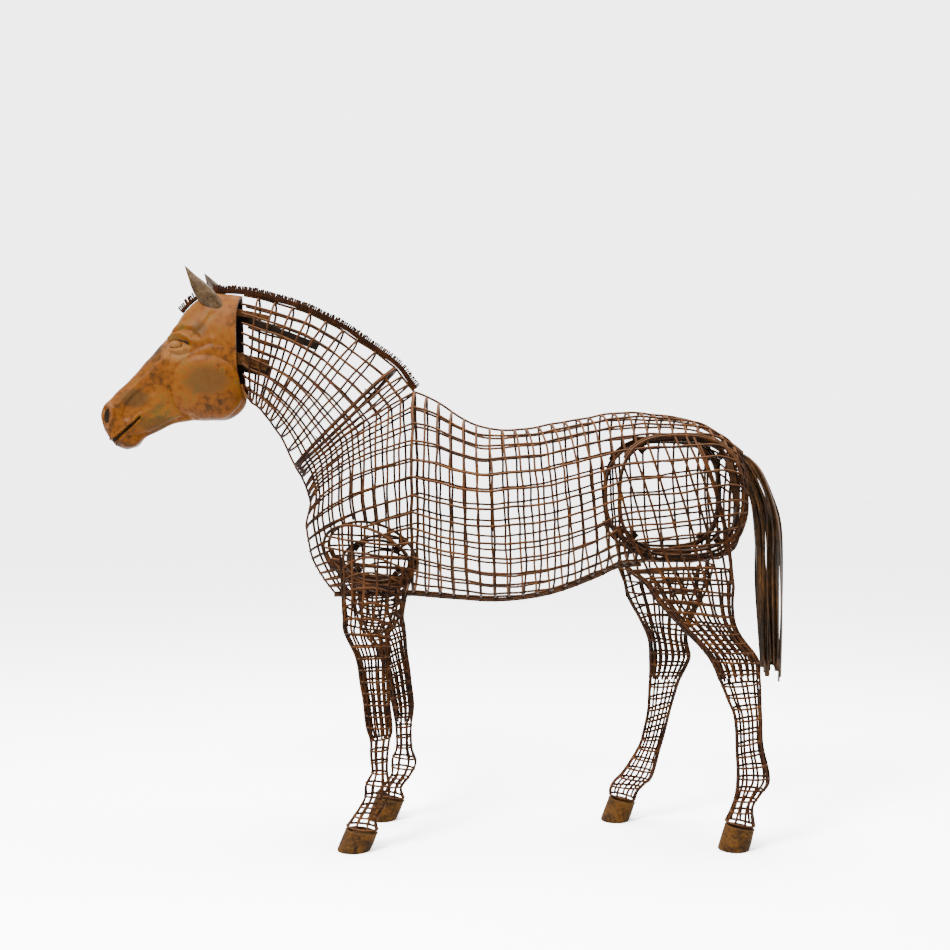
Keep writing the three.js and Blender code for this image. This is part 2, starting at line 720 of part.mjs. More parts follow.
// A comb in side view: a strip on a line of points, with teeth that lean forward, extruded across the midplane.
function comb(line, teeth) {
  const lift = (p, i, by) => {
    const before = line[Math.max(i - 1, 0)];
    const after = line[Math.min(i + 1, line.length - 1)];
    const run = after.clone().sub(before).normalize();
    return new THREE.Vector2(p.x - run.y * by, p.y + run.x * by);
  };
  const bottom = line.map((p, i) => lift(p, i, ROD_RADIUS + FIT_GAP));
  const strip = new THREE.Path(line.map((p, i) => lift(p, i, ROD_RADIUS + FIT_GAP + COMB_STRIP)));
  const top = [];
  for (let k = 0; k < teeth; k++) {
    const valley = strip.getPointAt(k / teeth);
    const peak = strip.getPointAt((k + 0.3) / teeth);
    const run = strip.getTangentAt((k + 0.3) / teeth);
    top.push(valley, new THREE.Vector2(peak.x - run.y * TOOTH_LENGTH, peak.y + run.x * TOOTH_LENGTH));
  }
  top.push(strip.getPointAt(1));
  const shape = new THREE.Shape([...bottom, ...top.reverse()]);
  return across(shape, COMB_WIDTH);
}

// Extrudes a side-view shape by a width, centred on the midplane.
function across(shape, width) {
  const geometry = new THREE.ExtrudeGeometry(shape, { depth: width, bevelEnabled: false, curveSegments: 1 });
  return geometry.rotateX(Math.PI / 2).translate(0, width / 2, 0);
}

// The mane follows the poll, the crest of the neck cage and the trunk cage's first crest bar.
function maneLine() {
  const crest = Array.from({ length: NECK_HOOPS }, (_, i) => neckRow(i));
  const outline = [...HEAD.slice(-2), ...crest].map((row) => place(row[0], 0, row[1]));
  const flange = FLANGE_TOP.clone().addScaledVector(FLANGE_AXIS, -FLANGE_ROOM);
  const below = FLANGE_TOP.clone().addScaledVector(FLANGE_AXIS, FLANGE_ROOM);
  const withers = place(TRUNK[0][0], 0, TRUNK[0][1]);
  const end = below.clone().lerp(withers, 0.97);
  return [...outline, flange, below, end].map((p) => new THREE.Vector2(p.x, p.z));
}
function forelockLine() {
  const rows = [along(HEAD, 9), along(HEAD, 10), along(HEAD, 10.6)];
  return rows.map((row) => new THREE.Vector2(row[0] * PER_MILLE, row[1] * PER_MILLE));
}

// The keel bar under the belly hoops.
function keelBar() {
  const hoops = Array.from({ length: 9 }, (_, i) => along(TRUNK, (i * (TRUNK.length - 1)) / TRUNK_HOOPS));
  const front = CHEST[CHEST.length - 1];
  const line = [[front[0], front[1]], ...hoops.slice(0, 8).map((row) => [row[2], row[3]])];
  const points = line.map(([x, z]) => new THREE.Vector2(x * PER_MILLE, z * PER_MILLE));
  const drop = (by) => points.map((p) => new THREE.Vector2(p.x, p.y - by));
  const top = ROD_RADIUS * 1.2 + FIT_GAP;
  return across(new THREE.Shape([...drop(top + KEEL_HEIGHT), ...drop(top).reverse()]), KEEL_WIDTH);
}

// A flat strap between two places given in thousandths.
function strap(from, to, width) {
  const a = place(...from);
  const b = place(...to);
  const run = b.clone().sub(a);
  const geometry = new THREE.BoxGeometry(run.length(), STRAP_THICKNESS, width);
  const side = new THREE.Vector3(0, 0, 1).cross(run).normalize();
  const up = run.clone().cross(side).normalize();
  const basis = new THREE.Matrix4().makeBasis(run.clone().normalize(), side, up);
  basis.setPosition(a.lerp(b, 0.5));
  return geometry.applyMatrix4(basis);
}
const NECK_STRAPS = {
  neck_strap_left_upper: [[-466, -20, 1181], [-386, -18, 1165], 1.1],
  neck_strap_left_lower: [[-466, -31, 1077], [-392, -31, 1060], 1.9],
  neck_strap_right_long: [[-470, 22, 1175], [-284, 24, 1106], 1.3],
  neck_strap_right_lower: [[-466, 31, 1064], [-392, 31, 1048], 1.8],
};

// A hoof: a cup of sheet iron, open at the top, leaning forward.
function hoof({ sole, rim, side }) {
  const count = 12;
  const ring = (share, inset) =>
    Array.from({ length: count }, (_, k) => {
      const a = (2 * Math.PI * k) / count;
      const front = mix(sole[0], rim[0], share);
      const back = mix(sole[1], rim[1], share);
      const half = mix(SOLE_HALF_WIDTH, RIM_HALF_WIDTH, share) * PER_MILLE - inset;
      const centre = (front + back) / 2;
      const reach = ((back - front) / 2) * PER_MILLE - inset;
      const height = share * mix(rim[2], rim[3], (1 - Math.cos(a)) / 2) * PER_MILLE;
      const x = centre * PER_MILLE - reach * Math.cos(a);
      return new THREE.Vector3(x, side * PER_MILLE + half * Math.sin(a), height);
    });
  return loft([ring(0, 0), ring(1, 0), ring(1, HOOF_WALL), ring(0.35, HOOF_WALL)]);
}

// A closed sheet between two grids of points with equal rows and columns.
function sheet(top, bottom) {
  const soup = [];
  const quad = (a, b, c, d) => soup.push(a, b, c, a, c, d);
  const [rows, columns] = [top.length - 1, top[0].length - 1];
  for (let i = 0; i < rows; i++) {
    for (let k = 0; k < columns; k++) {
      quad(top[i][k], top[i][k + 1], top[i + 1][k + 1], top[i + 1][k]);
      quad(bottom[i][k], bottom[i + 1][k], bottom[i + 1][k + 1], bottom[i][k + 1]);
    }
    quad(top[i][0], top[i + 1][0], bottom[i + 1][0], bottom[i][0]);
    quad(top[i + 1][columns], top[i][columns], bottom[i][columns], bottom[i + 1][columns]);
  }
  for (let k = 0; k < columns; k++) {
    quad(top[0][k + 1], top[0][k], bottom[0][k], bottom[0][k + 1]);
    quad(top[rows][k], top[rows][k + 1], bottom[rows][k + 1], bottom[rows][k]);
  }
  return closedGeometry(soup);
}

// The dock cover: a sheet that carries on the croup's top line and bends down over the root of the tail.
function dock() {
  const [rows, columns] = [3, 6];
  const from = place(DOCK.from[0], 0, DOCK.from[1]);
  const to = place(DOCK.to[0], 0, DOCK.to[1]);
  const run = to.clone().sub(from).normalize();
  const up = new THREE.Vector3(-run.z, 0, run.x);
  const grid = (down) =>
    Array.from({ length: rows + 1 }, (_, i) =>
      Array.from({ length: columns + 1 }, (_, k) => {
        const share = (2 * k) / columns - 1;
        const drop = mix(DOCK.flat, DOCK.bent, i / rows) * share ** 2 * PER_MILLE;
        const across = new THREE.Vector3(0, share * DOCK.halfWidth * PER_MILLE, 0);
        return from.clone().lerp(to, i / rows).add(across).addScaledVector(up, -drop - down);
      }),
    );
  return sheet(grid(0), grid(DOCK_WALL));
}

// One tail strap at share s across the bundle, as a swept flat bar.
function tailStrap(k) {
  const s = k / (TAIL_STRAPS - 1);
  const spread = Math.sin(k * 2.4);
  const rows = TAIL_OUTER.map((outer, i) => {
    const inner = TAIL_INNER[i];
    return [mix(outer[0], inner[0], s), mix(outer[1], inner[1], s)];
  });
  const steps = 10;
  const length = (rows.length - 1) * (1 - 0.06 * Math.abs(Math.sin(k * 1.7)));
  const ring = (i) => {
    const t = (length * i) / steps;
    const [x, z] = along(rows, t);
    const [xa, za] = along(rows, Math.max(t - 0.05, 0));
    const [xb, zb] = along(rows, t + 0.05);
    const run = new THREE.Vector3(xb - xa, 0, zb - za).normalize();
    const out = new THREE.Vector3(-run.z, 0, run.x);
    const y = spread * TAIL_HALF_WIDTH * Math.min(t / 2, 1);
    const centre = place(x, y, z);
    const [w, h] = [TAIL_STRAP_WIDTH / 2, TAIL_STRAP_THICKNESS / 2];
    const corner = (a, b) => centre.clone().add(new THREE.Vector3(0, a * w, 0)).addScaledVector(out, b * h);
    return [corner(-1, -1), corner(1, -1), corner(1, 1), corner(-1, 1)];
  };
  return loft(Array.from({ length: steps + 1 }, (_, i) => ring(i)));
}
function tail() {
  const root = new THREE.BoxGeometry(...TAIL_ROOT);
  const at = place(TAIL_OUTER[0][0], 0, TAIL_OUTER[0][1]);
  root.translate(at.x + TAIL_ROOT[0] / 8, 0, at.z - TAIL_ROOT[2] / 2 - FIT_GAP);
  const straps = Array.from({ length: TAIL_STRAPS }, (_, k) => tailStrap(k));
  return joined([root, ...straps]);
}

// Materials
const rust = (color, roughness) => new THREE.MeshStandardMaterial({ color, roughness, metalness: 0.35 });
const rodRust = rust(0x6b3d1e, 0.85);
const sheetRust = rust(0xa2602a, 0.7);
const hoofRust = rust(0x8a5526, 0.85);
const darkRust = rust(0x3c2414, 0.8);
const earIron = rust(0x6e5b49, 0.6);

// The scene graph
const horse = new THREE.Group();
function piece(name, geometry, material) {
  const mesh = new THREE.Mesh(geometry, material);
  mesh.name = name;
  horse.add(mesh);
}

piece("head_shell", head(), sheetRust);
piece("ear_left", ear(-1), earIron);
piece("ear_right", ear(1), earIron);
piece("mane_comb", comb(maneLine(), MANE_TEETH), darkRust);
piece("forelock_comb", comb(forelockLine(), FORELOCK_TEETH), darkRust);
piece("neck_cage", neckCage(), rodRust);
piece("neck_flange_upper", flangeHalf(-1), rodRust);
piece("neck_flange_lower", flangeHalf(1), rodRust);
for (const [name, [from, to, width]] of Object.entries(NECK_STRAPS))
  piece(name, strap(from, to, width * STRAP_WIDTH), darkRust);
piece("chest_cage", chestCage(), rodRust);
piece("barrel_cage", trunkCage(0, CROUP_HOOP), rodRust);
piece("croup_cage", trunkCage(CROUP_HOOP, TRUNK_HOOPS), rodRust);
piece("keel_bar", keelBar(), rodRust);
for (const [name, side] of [["left", -1], ["right", 1]]) {
  const chest = (u, v) => chestPoint(u, v, side);
  const flank = (u, v) => hoopPoint(along(TRUNK, u), v, side);
  const shoulder = [9.2, 0.6];
  const collar = shoulderCollar(chest, shoulder, side);
  piece("shoulder_ring_" + name, bodyRing(SHOULDER_RING, chest, shoulder, side, [3, 8, 12, 18]), darkRust);
  piece("hip_ring_" + name, bodyRing(HIP_RING, flank, [10.5, 0.55], side, [3, 7, 13, 17]), darkRust);
  const [fore, hind] = side < 0 ? [LEFT_FORE, LEFT_HIND] : [RIGHT_FORE, RIGHT_HIND];
  piece(name + "_foreleg_cage", legCage(fore, FORE_SIDE, side, FORELEG_RINGS, collar), rodRust);
  piece(name + "_hindleg_cage", legCage(hind, HIND_SIDE, side, HINDLEG_RINGS), rodRust);
}
for (const [name, form] of Object.entries(HOOVES)) piece(name, hoof(form), hoofRust);
piece("tail_dock", dock(), rodRust);
piece("tail_straps", tail(), darkRust);

// The origin: on the ground, under the middle of the horse's length and width.
const box = new THREE.Box3().setFromObject(horse, true);
horse.position.set(-(box.min.x + box.max.x) / 2, -(box.min.y + box.max.y) / 2, -box.min.z);

export default horse;
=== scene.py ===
import math
import bpy
import numpy as np
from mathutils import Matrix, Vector


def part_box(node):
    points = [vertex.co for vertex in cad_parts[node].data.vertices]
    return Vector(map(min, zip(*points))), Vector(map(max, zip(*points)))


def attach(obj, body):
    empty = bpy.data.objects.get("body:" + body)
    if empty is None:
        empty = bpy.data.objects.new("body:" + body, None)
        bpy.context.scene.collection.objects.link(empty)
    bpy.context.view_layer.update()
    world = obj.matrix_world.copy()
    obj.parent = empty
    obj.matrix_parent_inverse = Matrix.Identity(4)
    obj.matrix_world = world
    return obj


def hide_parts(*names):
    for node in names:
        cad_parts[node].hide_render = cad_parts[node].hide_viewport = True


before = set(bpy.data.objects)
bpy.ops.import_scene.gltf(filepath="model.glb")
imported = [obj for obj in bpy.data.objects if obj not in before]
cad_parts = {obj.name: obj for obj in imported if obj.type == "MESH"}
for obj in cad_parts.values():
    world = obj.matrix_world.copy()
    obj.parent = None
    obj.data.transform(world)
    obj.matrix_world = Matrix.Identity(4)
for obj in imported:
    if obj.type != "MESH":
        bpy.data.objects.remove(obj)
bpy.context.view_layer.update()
rng = np.random.default_rng(7)

# One thousandth of the withers height, in metres, and where the design's x = 0 lies in the frame.
UNIT = 0.0015
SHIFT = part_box("left_fore_hoof")[0].x + 224 * UNIT

# In metres: the round bar's radius, the flat bar's thickness, and how far the bars lie off the cage's
# skin, upright ones inside and level ones outside.
ROD = 0.0042
FLAT = 0.005
LAP = 0.0012

# Outlines in thousandths of the withers height.
# Trunk, neck and head, a hoop a row: top x, top z, low x, low z, half width, share of the height where
# it is widest, fullness above and below that, and how far its side bows to the rear.
TRUNK = np.array([
    [-63, 1000, -61, 550, 152, 0.56, 1.75, 2.6, 0],
    [-10, 978, -6, 545, 168, 0.56, 1.8, 2.5, -3],
    [40, 944, 48, 541, 180, 0.54, 1.9, 2.4, -3],
    [96, 919, 109, 537, 188, 0.52, 2, 2.3, -1],
    [152, 915, 170, 540, 191, 0.5, 2.1, 2.2, 6],
    [211, 920, 234, 550, 190, 0.5, 2.1, 2.2, 12],
    [264, 930, 291, 567, 185, 0.5, 2.1, 2.2, 12],
    [322, 941, 354, 592, 176, 0.5, 2.1, 2.3, 9],
    [371, 950, 395, 611, 169, 0.5, 2.1, 2.5, 6],
    [437, 953, 437, 616, 168, 0.52, 2.1, 3, 6],
    [506, 947, 490, 618, 170, 0.54, 2.1, 3.2, 10],
    [555, 937, 545, 618, 168, 0.54, 2.1, 3.2, 13],
    [599, 920, 593, 620, 160, 0.52, 2.1, 3, 16],
    [638, 893, 632, 632, 138, 0.5, 2.2, 2.6, 18],
    [664, 845, 655, 662, 100, 0.5, 2.2, 2.2, 14],
])
# Chest, from the crest down: front x, front z, crest x, crest z, half width, how far the front is pushed out.
CHEST = np.array([
    [-331, 834, -105, 1056, 77, 0],
    [-324, 822, -84, 1028, 79, 4],
    [-317, 810, -63, 1000, 76, 11],
    [-308, 790, -42, 972, 59, 18],
    [-302, 770, -42, 972, 43, 24],
    [-299, 745, -42, 972, 28, 27],
    [-306, 693, -42, 972, 17, 22],
    [-301, 650, -42, 972, 10, 14],
    [-293, 621, -42, 972, 6, 9],
    [-281, 597, -42, 972, 3, 5],
    [-267, 577, -42, 972, 1, 3],
    [-254, 561, -42, 972, 0, 1],
    [-244, 548, -42, 972, 0, 0],
])
CREST_ROWS = 2
NECK = np.array([
    [-451, 1220, -445, 996, 45, 0.5, 2, 2, 0],
    [-415, 1214, -433, 980, 47, 0.5, 2, 2, 0],
    [-379, 1204, -421, 972, 49, 0.5, 2, 2, 2],
    [-339, 1193, -411, 962, 52, 0.5, 2, 2, 4],
    [-299, 1178, -401, 948, 56, 0.52, 2, 2, 5],
    [-263, 1161, -390, 934, 60, 0.52, 2, 2, 5],
    [-224, 1141, -377, 916, 64, 0.52, 2, 2, 4],
    [-193, 1119, -364, 898, 68, 0.54, 2, 2, 3],
    [-150, 1090, -348, 867, 73, 0.55, 2, 2, 2],
    [-105, 1056, -331, 834, 77, 0.5, 2, 2, 0],
])
HEAD = np.array([
    [-772, 953, -758, 907, 19, 0.5, 2.4, 2.4, 0],
    [-763, 974, -741, 883, 31, 0.45, 2.4, 2.4, 0],
    [-746, 990, -717, 871, 36, 0.42, 2.4, 2.2, 0],
    [-725, 1012, -695, 877, 35, 0.45, 2.3, 2.2, 0],
    [-700, 1036, -675, 895, 33, 0.48, 2.3, 2.2, 0],
    [-674, 1065, -640, 914, 36, 0.45, 2.4, 2.1, 0],
    [-646, 1096, -603, 930, 45, 0.42, 2.6, 2, 0],
    [-623, 1119, -571, 936, 55, 0.4, 2.7, 2, 0],
    [-603, 1147, -530, 936, 61, 0.42, 2.7, 2.1, 0],
    [-585, 1176, -489, 938, 62, 0.48, 2.5, 2.2, 0],
    [-557, 1206, -458, 953, 60, 0.52, 2.4, 2.2, 0],
    [-521, 1225, -443, 978, 56, 0.52, 2.4, 2.2, -3],
    [-452, 1219, -446, 992, 54, 0.5, 2.4, 2.2, -9],
])
# Legs, from the top down: front x, front z, back x, back z.
LEFT_FORE = np.array([
    [-226, 612, -66, 612],
    [-211, 515, -91, 505],
    [-210, 472, -111, 465],
    [-184, 415, -112, 420],
    [-171, 344, -112, 346],
    [-161, 267, -107, 265],
    [-152, 239, -109, 244],
    [-151, 200, -114, 202],
    [-150, 167, -115, 165],
    [-163, 141, -109, 135],
    [-166, 109, -114, 109],
    [-190, 71, -137, 67],
    [-203, 54, -136, 45],
])
RIGHT_FORE = np.array([
    [-226, 612, -66, 612],
    [-203, 486, -93, 495],
    [-181, 435, -91, 457],
    [-152, 393, -87, 421],
    [-127, 310, -77, 331],
    [-118, 262, -70, 270],
    [-113, 234, -73, 236],
    [-111, 200, -76, 203],
    [-111, 166, -73, 166],
    [-121, 143, -63, 133],
    [-123, 107, -77, 103],
    [-143, 77, -98, 75],
    [-158, 61, -93, 50],
])
LEFT_HIND = np.array([
    [403, 609, 641, 613],
    [444, 578, 640, 566],
    [468, 545, 639, 528],
    [503, 505, 642, 490],
    [545, 463, 655, 462],
    [586, 415, 693, 411],
    [609, 364, 697, 371],
    [627, 320, 698, 325],
    [642, 283, 699, 290],
    [645, 207, 703, 220],
    [647, 149, 716, 150],
    [644, 119, 697, 118],
    [634, 88, 680, 90],
    [621, 61, 683, 51],
])
RIGHT_HIND = np.array([
    [403, 607, 641, 613],
    [434, 530, 620, 545],
    [463, 477, 585, 478],
    [477, 448, 574, 437],
    [485, 419, 578, 408],
    [487, 381, 581, 383],
    [487, 335, 559, 337],
    [482, 262, 541, 280],
    [473, 211, 527, 227],
    [461, 173, 512, 168],
    [425, 115, 492, 103],
    [403, 91, 477, 86],
    [393, 72, 461, 69],
    [393, 61, 453, 49],
])
# The same rows of each leg across: middle y, half width, how far the outer side rises.
FORE_SIDE = np.array([
    [119, 57, 54], [121, 50, 26], [119, 44, 8], [118, 37, 2], [120, 30, 0], [122, 26, 0], [123, 23, 0],
    [124, 18, 0], [124, 18, 0], [125, 22, 0], [126, 20, 0], [128, 24, 0], [130, 29, 0],
])
HIND_SIDE = np.array([
    [114, 56, 10], [114, 54, 10], [113, 50, 6], [112, 45, 2], [113, 40, 0], [114, 34, 0], [115, 30, 0],
    [116, 25, 0], [117, 22, 0], [118, 19, 0], [119, 23, 0], [120, 20, 0], [121, 24, 0], [122, 28, 0],
])
# Hooves: sole front and back, rim front, back, front height and back height, middle y.
HOOVES = {
    "left_fore_hoof": ((-224, -151), (-205, -136, 47, 37), -130),
    "right_fore_hoof": ((-179, -110), (-160, -92, 54, 43), 130),
    "left_hind_hoof": ((604, 672), (620, 683, 54, 43), -122),
    "right_hind_hoof": ((372, 439), (392, 453, 54, 41), 122),
}
SHOULDER = {"x": -146, "z": 620, "half_x": 80, "half_z": 53, "power": 2, "lean": 0}
SHOULDER_RIM = {"x": -163, "z": 631, "half_x": 99, "half_z": 68, "power": 2, "lean": 0.25}
HIP = {"x": 521, "z": 768, "half_x": 136, "half_z": 131, "power": 2.7, "lean": 0}
TAIL_OUTER = np.array([
    [676, 862], [700, 851], [728, 820], [755, 757], [770, 695], [772, 590], [771, 470], [768, 345],
])
TAIL_INNER = np.array([
    [669, 860], [678, 838], [692, 790], [706, 734], [711, 665], [713, 570], [718, 470], [724, 345],
])

# Where the search for a point of the skin starts: the row, and the share of the way round it.
ON_CHEST = (8.5, 0.6)
ON_HIP = (10.5, 0.55)

# Rings are cut level at this height, in thousandths. The cage's middle is in metres.
RING_FLOOR = 558
CAGE_MIDDLE_Z = 1.12
NO_LINE = np.zeros((0, 3))


def place(x, y, z):
    x, y, z = np.broadcast_arrays(np.asarray(x, float), y, z)
    return np.stack([x * UNIT + SHIFT, y * UNIT, z * UNIT], -1)


def mix(a, b, t):
    return a + (b - a) * t


def along(rows, t):
    t = np.atleast_1d(np.asarray(t, float))
    last = len(rows) - 1
    start = np.clip(np.floor(t).astype(int), 0, last - 1)
    u = (t - start)[:, None]
    a, b, c, d = [rows[np.clip(start + k, 0, last)] for k in (-1, 0, 1, 2)]
    return b + 0.5 * ((c - a) + ((2 * a - 5 * b + 4 * c - d) + (3 * (b - c) + d - a) * u) * u) * u


def height_share(f):
    return mix(1 - 2 * f, np.cos(np.pi * f), 0.5)


def hoop_points(rows, f, side):
    top_x, top_z, low_x, low_z, half, widest, above, below, bow = rows.T
    c = height_share(np.clip(f, 0, 1))
    mid_x = mix(top_x, low_x, widest)
    mid_z = mix(top_z, low_z, widest)
    power = np.where(c > 0, above, below)
    reach = np.abs(c)
    x = mix(mid_x, np.where(c > 0, top_x, low_x), reach)
    z = mix(mid_z, np.where(c > 0, top_z, low_z), reach)
    out = np.maximum(1 - reach ** power, 0) ** (1 / power)
    return place(x + bow * out, side * half * out, z)


def trunk(u, f, side):
    u, f = np.broadcast_arrays(np.atleast_1d(u).astype(float), np.atleast_1d(f).astype(float))
    return hoop_points(along(TRUNK, u), f, side)


def chest(row, t, side):
    row, t = np.broadcast_arrays(np.atleast_1d(row).astype(float), np.atleast_1d(t).astype(float))
    rows = along(CHEST, row)
    share = (row - CREST_ROWS) / (len(CHEST) - 1 - CREST_ROWS)
    crease = trunk(np.zeros_like(row), np.maximum(share, 0), side)
    crest = place(rows[:, 2], 0, rows[:, 3])
    crease = np.where((share > 0)[:, None], crease, crest)
    front = place(rows[:, 0], 0, rows[:, 1])
    point = front + (crease - front) * t[:, None]
    run = crease[:, [0, 2]] - front[:, [0, 2]]
    run = run / np.linalg.norm(run, axis=1, keepdims=True)
    push = rows[:, 5] * UNIT * np.sin(np.pi * np.clip(t, 0, 1) ** 0.75)
    shoulder = np.abs(crease[:, 1]) * np.sin(np.pi / 2 * np.clip(t, 0, 1) ** 0.8)
    neck_part = rows[:, 4] * UNIT * np.sqrt(np.maximum(1 - (2 * t - 1) ** 2, 0))
    point[:, 0] -= run[:, 1] * push
    point[:, 2] += run[:, 0] * push
    point[:, 1] = side * np.hypot(shoulder, neck_part)
    return point


def neck(u, t, side):
    u, t = np.broadcast_arrays(np.atleast_1d(u).astype(float), np.atleast_1d(t).astype(float))
    rows = along(NECK, u)
    out = np.sqrt(np.maximum(1 - (2 * t - 1) ** 2, 0))
    return place(mix(rows[:, 2], rows[:, 0], t) + rows[:, 8] * out, side * rows[:, 4] * out,
                 mix(rows[:, 3], rows[:, 1], t))


def leg(rows, sides, t, a, side):
    t, a = np.broadcast_arrays(np.atleast_1d(t).astype(float), np.atleast_1d(a).astype(float))
    r = along(rows, t)
    s = along(sides, t)
    forward = (1 + np.cos(a)) / 2
    x = mix(r[:, 2], r[:, 0], forward)
    z = mix(r[:, 3], r[:, 1], forward) + s[:, 2] * np.sin(a)
    return place(x, side * (s[:, 0] + s[:, 1] * np.sin(a)), z)


def skin_at(surface, x, z, start, side):
    """The surface points that show at x, z (metres) in side view, and the outward normals there."""
    x, z = np.atleast_1d(x), np.atleast_1d(z)
    u = np.full(x.shape, float(start[0]))
    v = np.full(x.shape, float(start[1]))
    h = 1e-3
    for _ in range(25):
        p = surface(u, v, side)
        du = (surface(u + h, v, side) - p) / h
        dv = (surface(u, v + h, side) - p) / h
        det = du[:, 0] * dv[:, 2] - dv[:, 0] * du[:, 2]
        det = np.where(np.abs(det) < 1e-9, 1e-9, det)
        ex, ez = x - p[:, 0], z - p[:, 2]
        u = u + np.clip((ex * dv[:, 2] - ez * dv[:, 0]) / det, -2, 2)
        v = v + np.clip((ez * du[:, 0] - ex * du[:, 2]) / det, -0.2, 0.2)
    p = surface(u, v, side)
    n = np.cross(surface(u + h, v, side) - p, surface(u, v + h, side) - p)
    n /= np.maximum(np.linalg.norm(n, axis=1, keepdims=True), 1e-12)
    n *= np.where(n[:, 1:2] * side < 0, -1, 1)
    return p, n


def wobble(p, size=0.0013):
    """A gentle unevenness in space, so that bars that meet move together."""
    x, y, z = p[:, 0], p[:, 1], p[:, 2]
    return p + size * np.stack([
        np.sin(19 * x + 31 * z + 7 * y) + 0.6 * np.sin(53 * z - 21 * x + 2),
        np.sin(23 * z - 17 * x + 5 * y + 1),
        np.sin(27 * x + 13 * y - 9 * z + 4) + 0.6 * np.sin(61 * x + 17 * z),
    ], -1)


def reach_along(points):
    """How far along the line each point lies."""
    return np.r_[0, np.cumsum(np.linalg.norm(np.diff(points, axis=0), axis=1))]


def spline(points, count):
    """Catmull-Rom through points, evenly spaced along the line."""
    points = np.asarray(points, float)
    fine = along(points, np.linspace(0, len(points) - 1, 12 * len(points)))
    steps = reach_along(fine)
    at = np.linspace(0, steps[-1], count)
    return np.stack([np.interp(at, steps, fine[:, k]) for k in range(3)], -1)


def tangents(p, closed):
    if closed:
        d = np.roll(p, -1, axis=0) - np.roll(p, 1, axis=0)
    else:
        d = np.gradient(p, axis=0)
    return d / np.maximum(np.linalg.norm(d, axis=1, keepdims=True), 1e-12)


class Batch:
    """Vertices and faces of one piece."""

    def __init__(self):
        self.verts = []
        self.faces = []
        self.count = 0

    def put(self, verts, faces):
        self.verts.append(np.asarray(verts, float).reshape(-1, 3))
        self.faces += [tuple(int(i) + self.count for i in f) for f in faces]
        self.count += len(self.verts[-1])

    def sweep(self, rings, closed=False):
        n, m = rings.shape[:2]
        faces = []
        for i in range(n if closed else n - 1):
            a, b = i * m, ((i + 1) % n) * m
            for k in range(m):
                j = (k + 1) % m
                faces.append((a + k, a + j, b + j, b + k))
        if not closed:
            faces.append(tuple(range(m))[::-1])
            faces.append(tuple(range((n - 1) * m, n * m)))
        self.put(rings, faces)

    def tube(self, p, radius=ROD, closed=False, sides=6):
        p = np.asarray(p, float)
        if len(p) < 2:
            return
        t = tangents(p, closed)
        n = np.cross(t[0], [0.3, 0.2, 1.0])
        frames = []
        for d in t:
            n = n - d * n.dot(d)
            n /= max(np.linalg.norm(n), 1e-9)
            frames.append(n)
        frames = np.array(frames)
        other = np.cross(t, frames)
        if closed:
            turn = math.atan2(np.dot(frames[-1], other[0]), np.dot(frames[-1], frames[0]))
            angle = -turn * np.arange(len(p)) / len(p)
            c, s = np.cos(angle)[:, None], np.sin(angle)[:, None]
            frames, other = frames * c + other * s, other * c - frames * s
        a = np.arange(sides) * 2 * np.pi / sides
        c, s = np.cos(a)[None, :, None], np.sin(a)[None, :, None]
        rings = p[:, None] + radius * (c * frames[:, None] + s * other[:, None])
        self.sweep(rings, closed)

    def flat(self, p, across, width, thick, closed=False, bevel=0.18):
        """A flat bar along p. across points along its width at each point."""
        p = np.asarray(p, float)
        t = tangents(p, closed)
        across = np.broadcast_to(np.asarray(across, float), p.shape)
        across = across - t * np.sum(across * t, axis=1, keepdims=True)
        across = across / np.maximum(np.linalg.norm(across, axis=1, keepdims=True), 1e-9)
        up = np.cross(t, across)
        w, h = width / 2, thick / 2
        b = min(w, h) * 2 * bevel
        corners = [(-w + b, -h), (w - b, -h), (w, -h + b), (w, h - b),
                   (w - b, h), (-w + b, h), (-w, h - b), (-w, -h + b)]
        rings = np.stack([p + across * x + up * y for x, y in corners], 1)
        self.sweep(rings, closed)

    def box(self, centre, x, y, z):
        x, y, z = [np.asarray(q, float) / 2 for q in (x, y, z)]
        v = [centre + sx * x + sy * y + sz * z for sx in (-1, 1) for sy in (-1, 1) for sz in (-1, 1)]
        self.put(v, [(0, 1, 3, 2), (4, 6, 7, 5), (0, 4, 5, 1), (2, 3, 7, 6), (0, 2, 6, 4), (1, 5, 7, 3)])

    def bolt(self, p, axis, radius, length):
        """A nut and the bolt through it."""
        axis = np.asarray(axis, float) / np.linalg.norm(axis)
        self.tube([p - axis * length / 2, p + axis * length / 2], radius, sides=6)
        self.tube([p - axis * length * 0.9, p + axis * length * 0.9], radius * 0.5, sides=8)

    def bars(self, p, keep, radius=ROD):
        """A bar along each unbroken run of the points that are kept."""
        edges = np.flatnonzero(np.diff(np.r_[0, keep.astype(int), 0]))
        for start, stop in zip(edges[::2], edges[1::2]):
            self.tube(p[start:stop], radius)


def inside(p, ring, grow=0.0):
    x = (p[:, 0] - SHIFT) / UNIT - ring["x"]
    z = p[:, 2] / UNIT - ring["z"] + ring["lean"] * x
    across, up = np.abs(x / (ring["half_x"] + grow)), np.abs(z / (ring["half_z"] + grow))
    return across ** ring["power"] + up ** ring["power"] < 1


def ring_line(ring, count, grow=0.0, first=0.0, last=2 * np.pi):
    """The x and z, in metres, of points round a ring or along an arc of it."""
    a = np.linspace(first, last, count, endpoint=last - first < 6)
    cos, sin = [np.sign(v) * np.abs(v) ** (2 / ring["power"]) for v in (np.cos(a), np.sin(a))]
    x = (ring["half_x"] + grow) * cos
    z = ring["z"] + (ring["half_z"] + grow) * sin - ring["lean"] * x
    return (ring["x"] + x) * UNIT + SHIFT, np.maximum(z, RING_FLOOR) * UNIT


# Materials

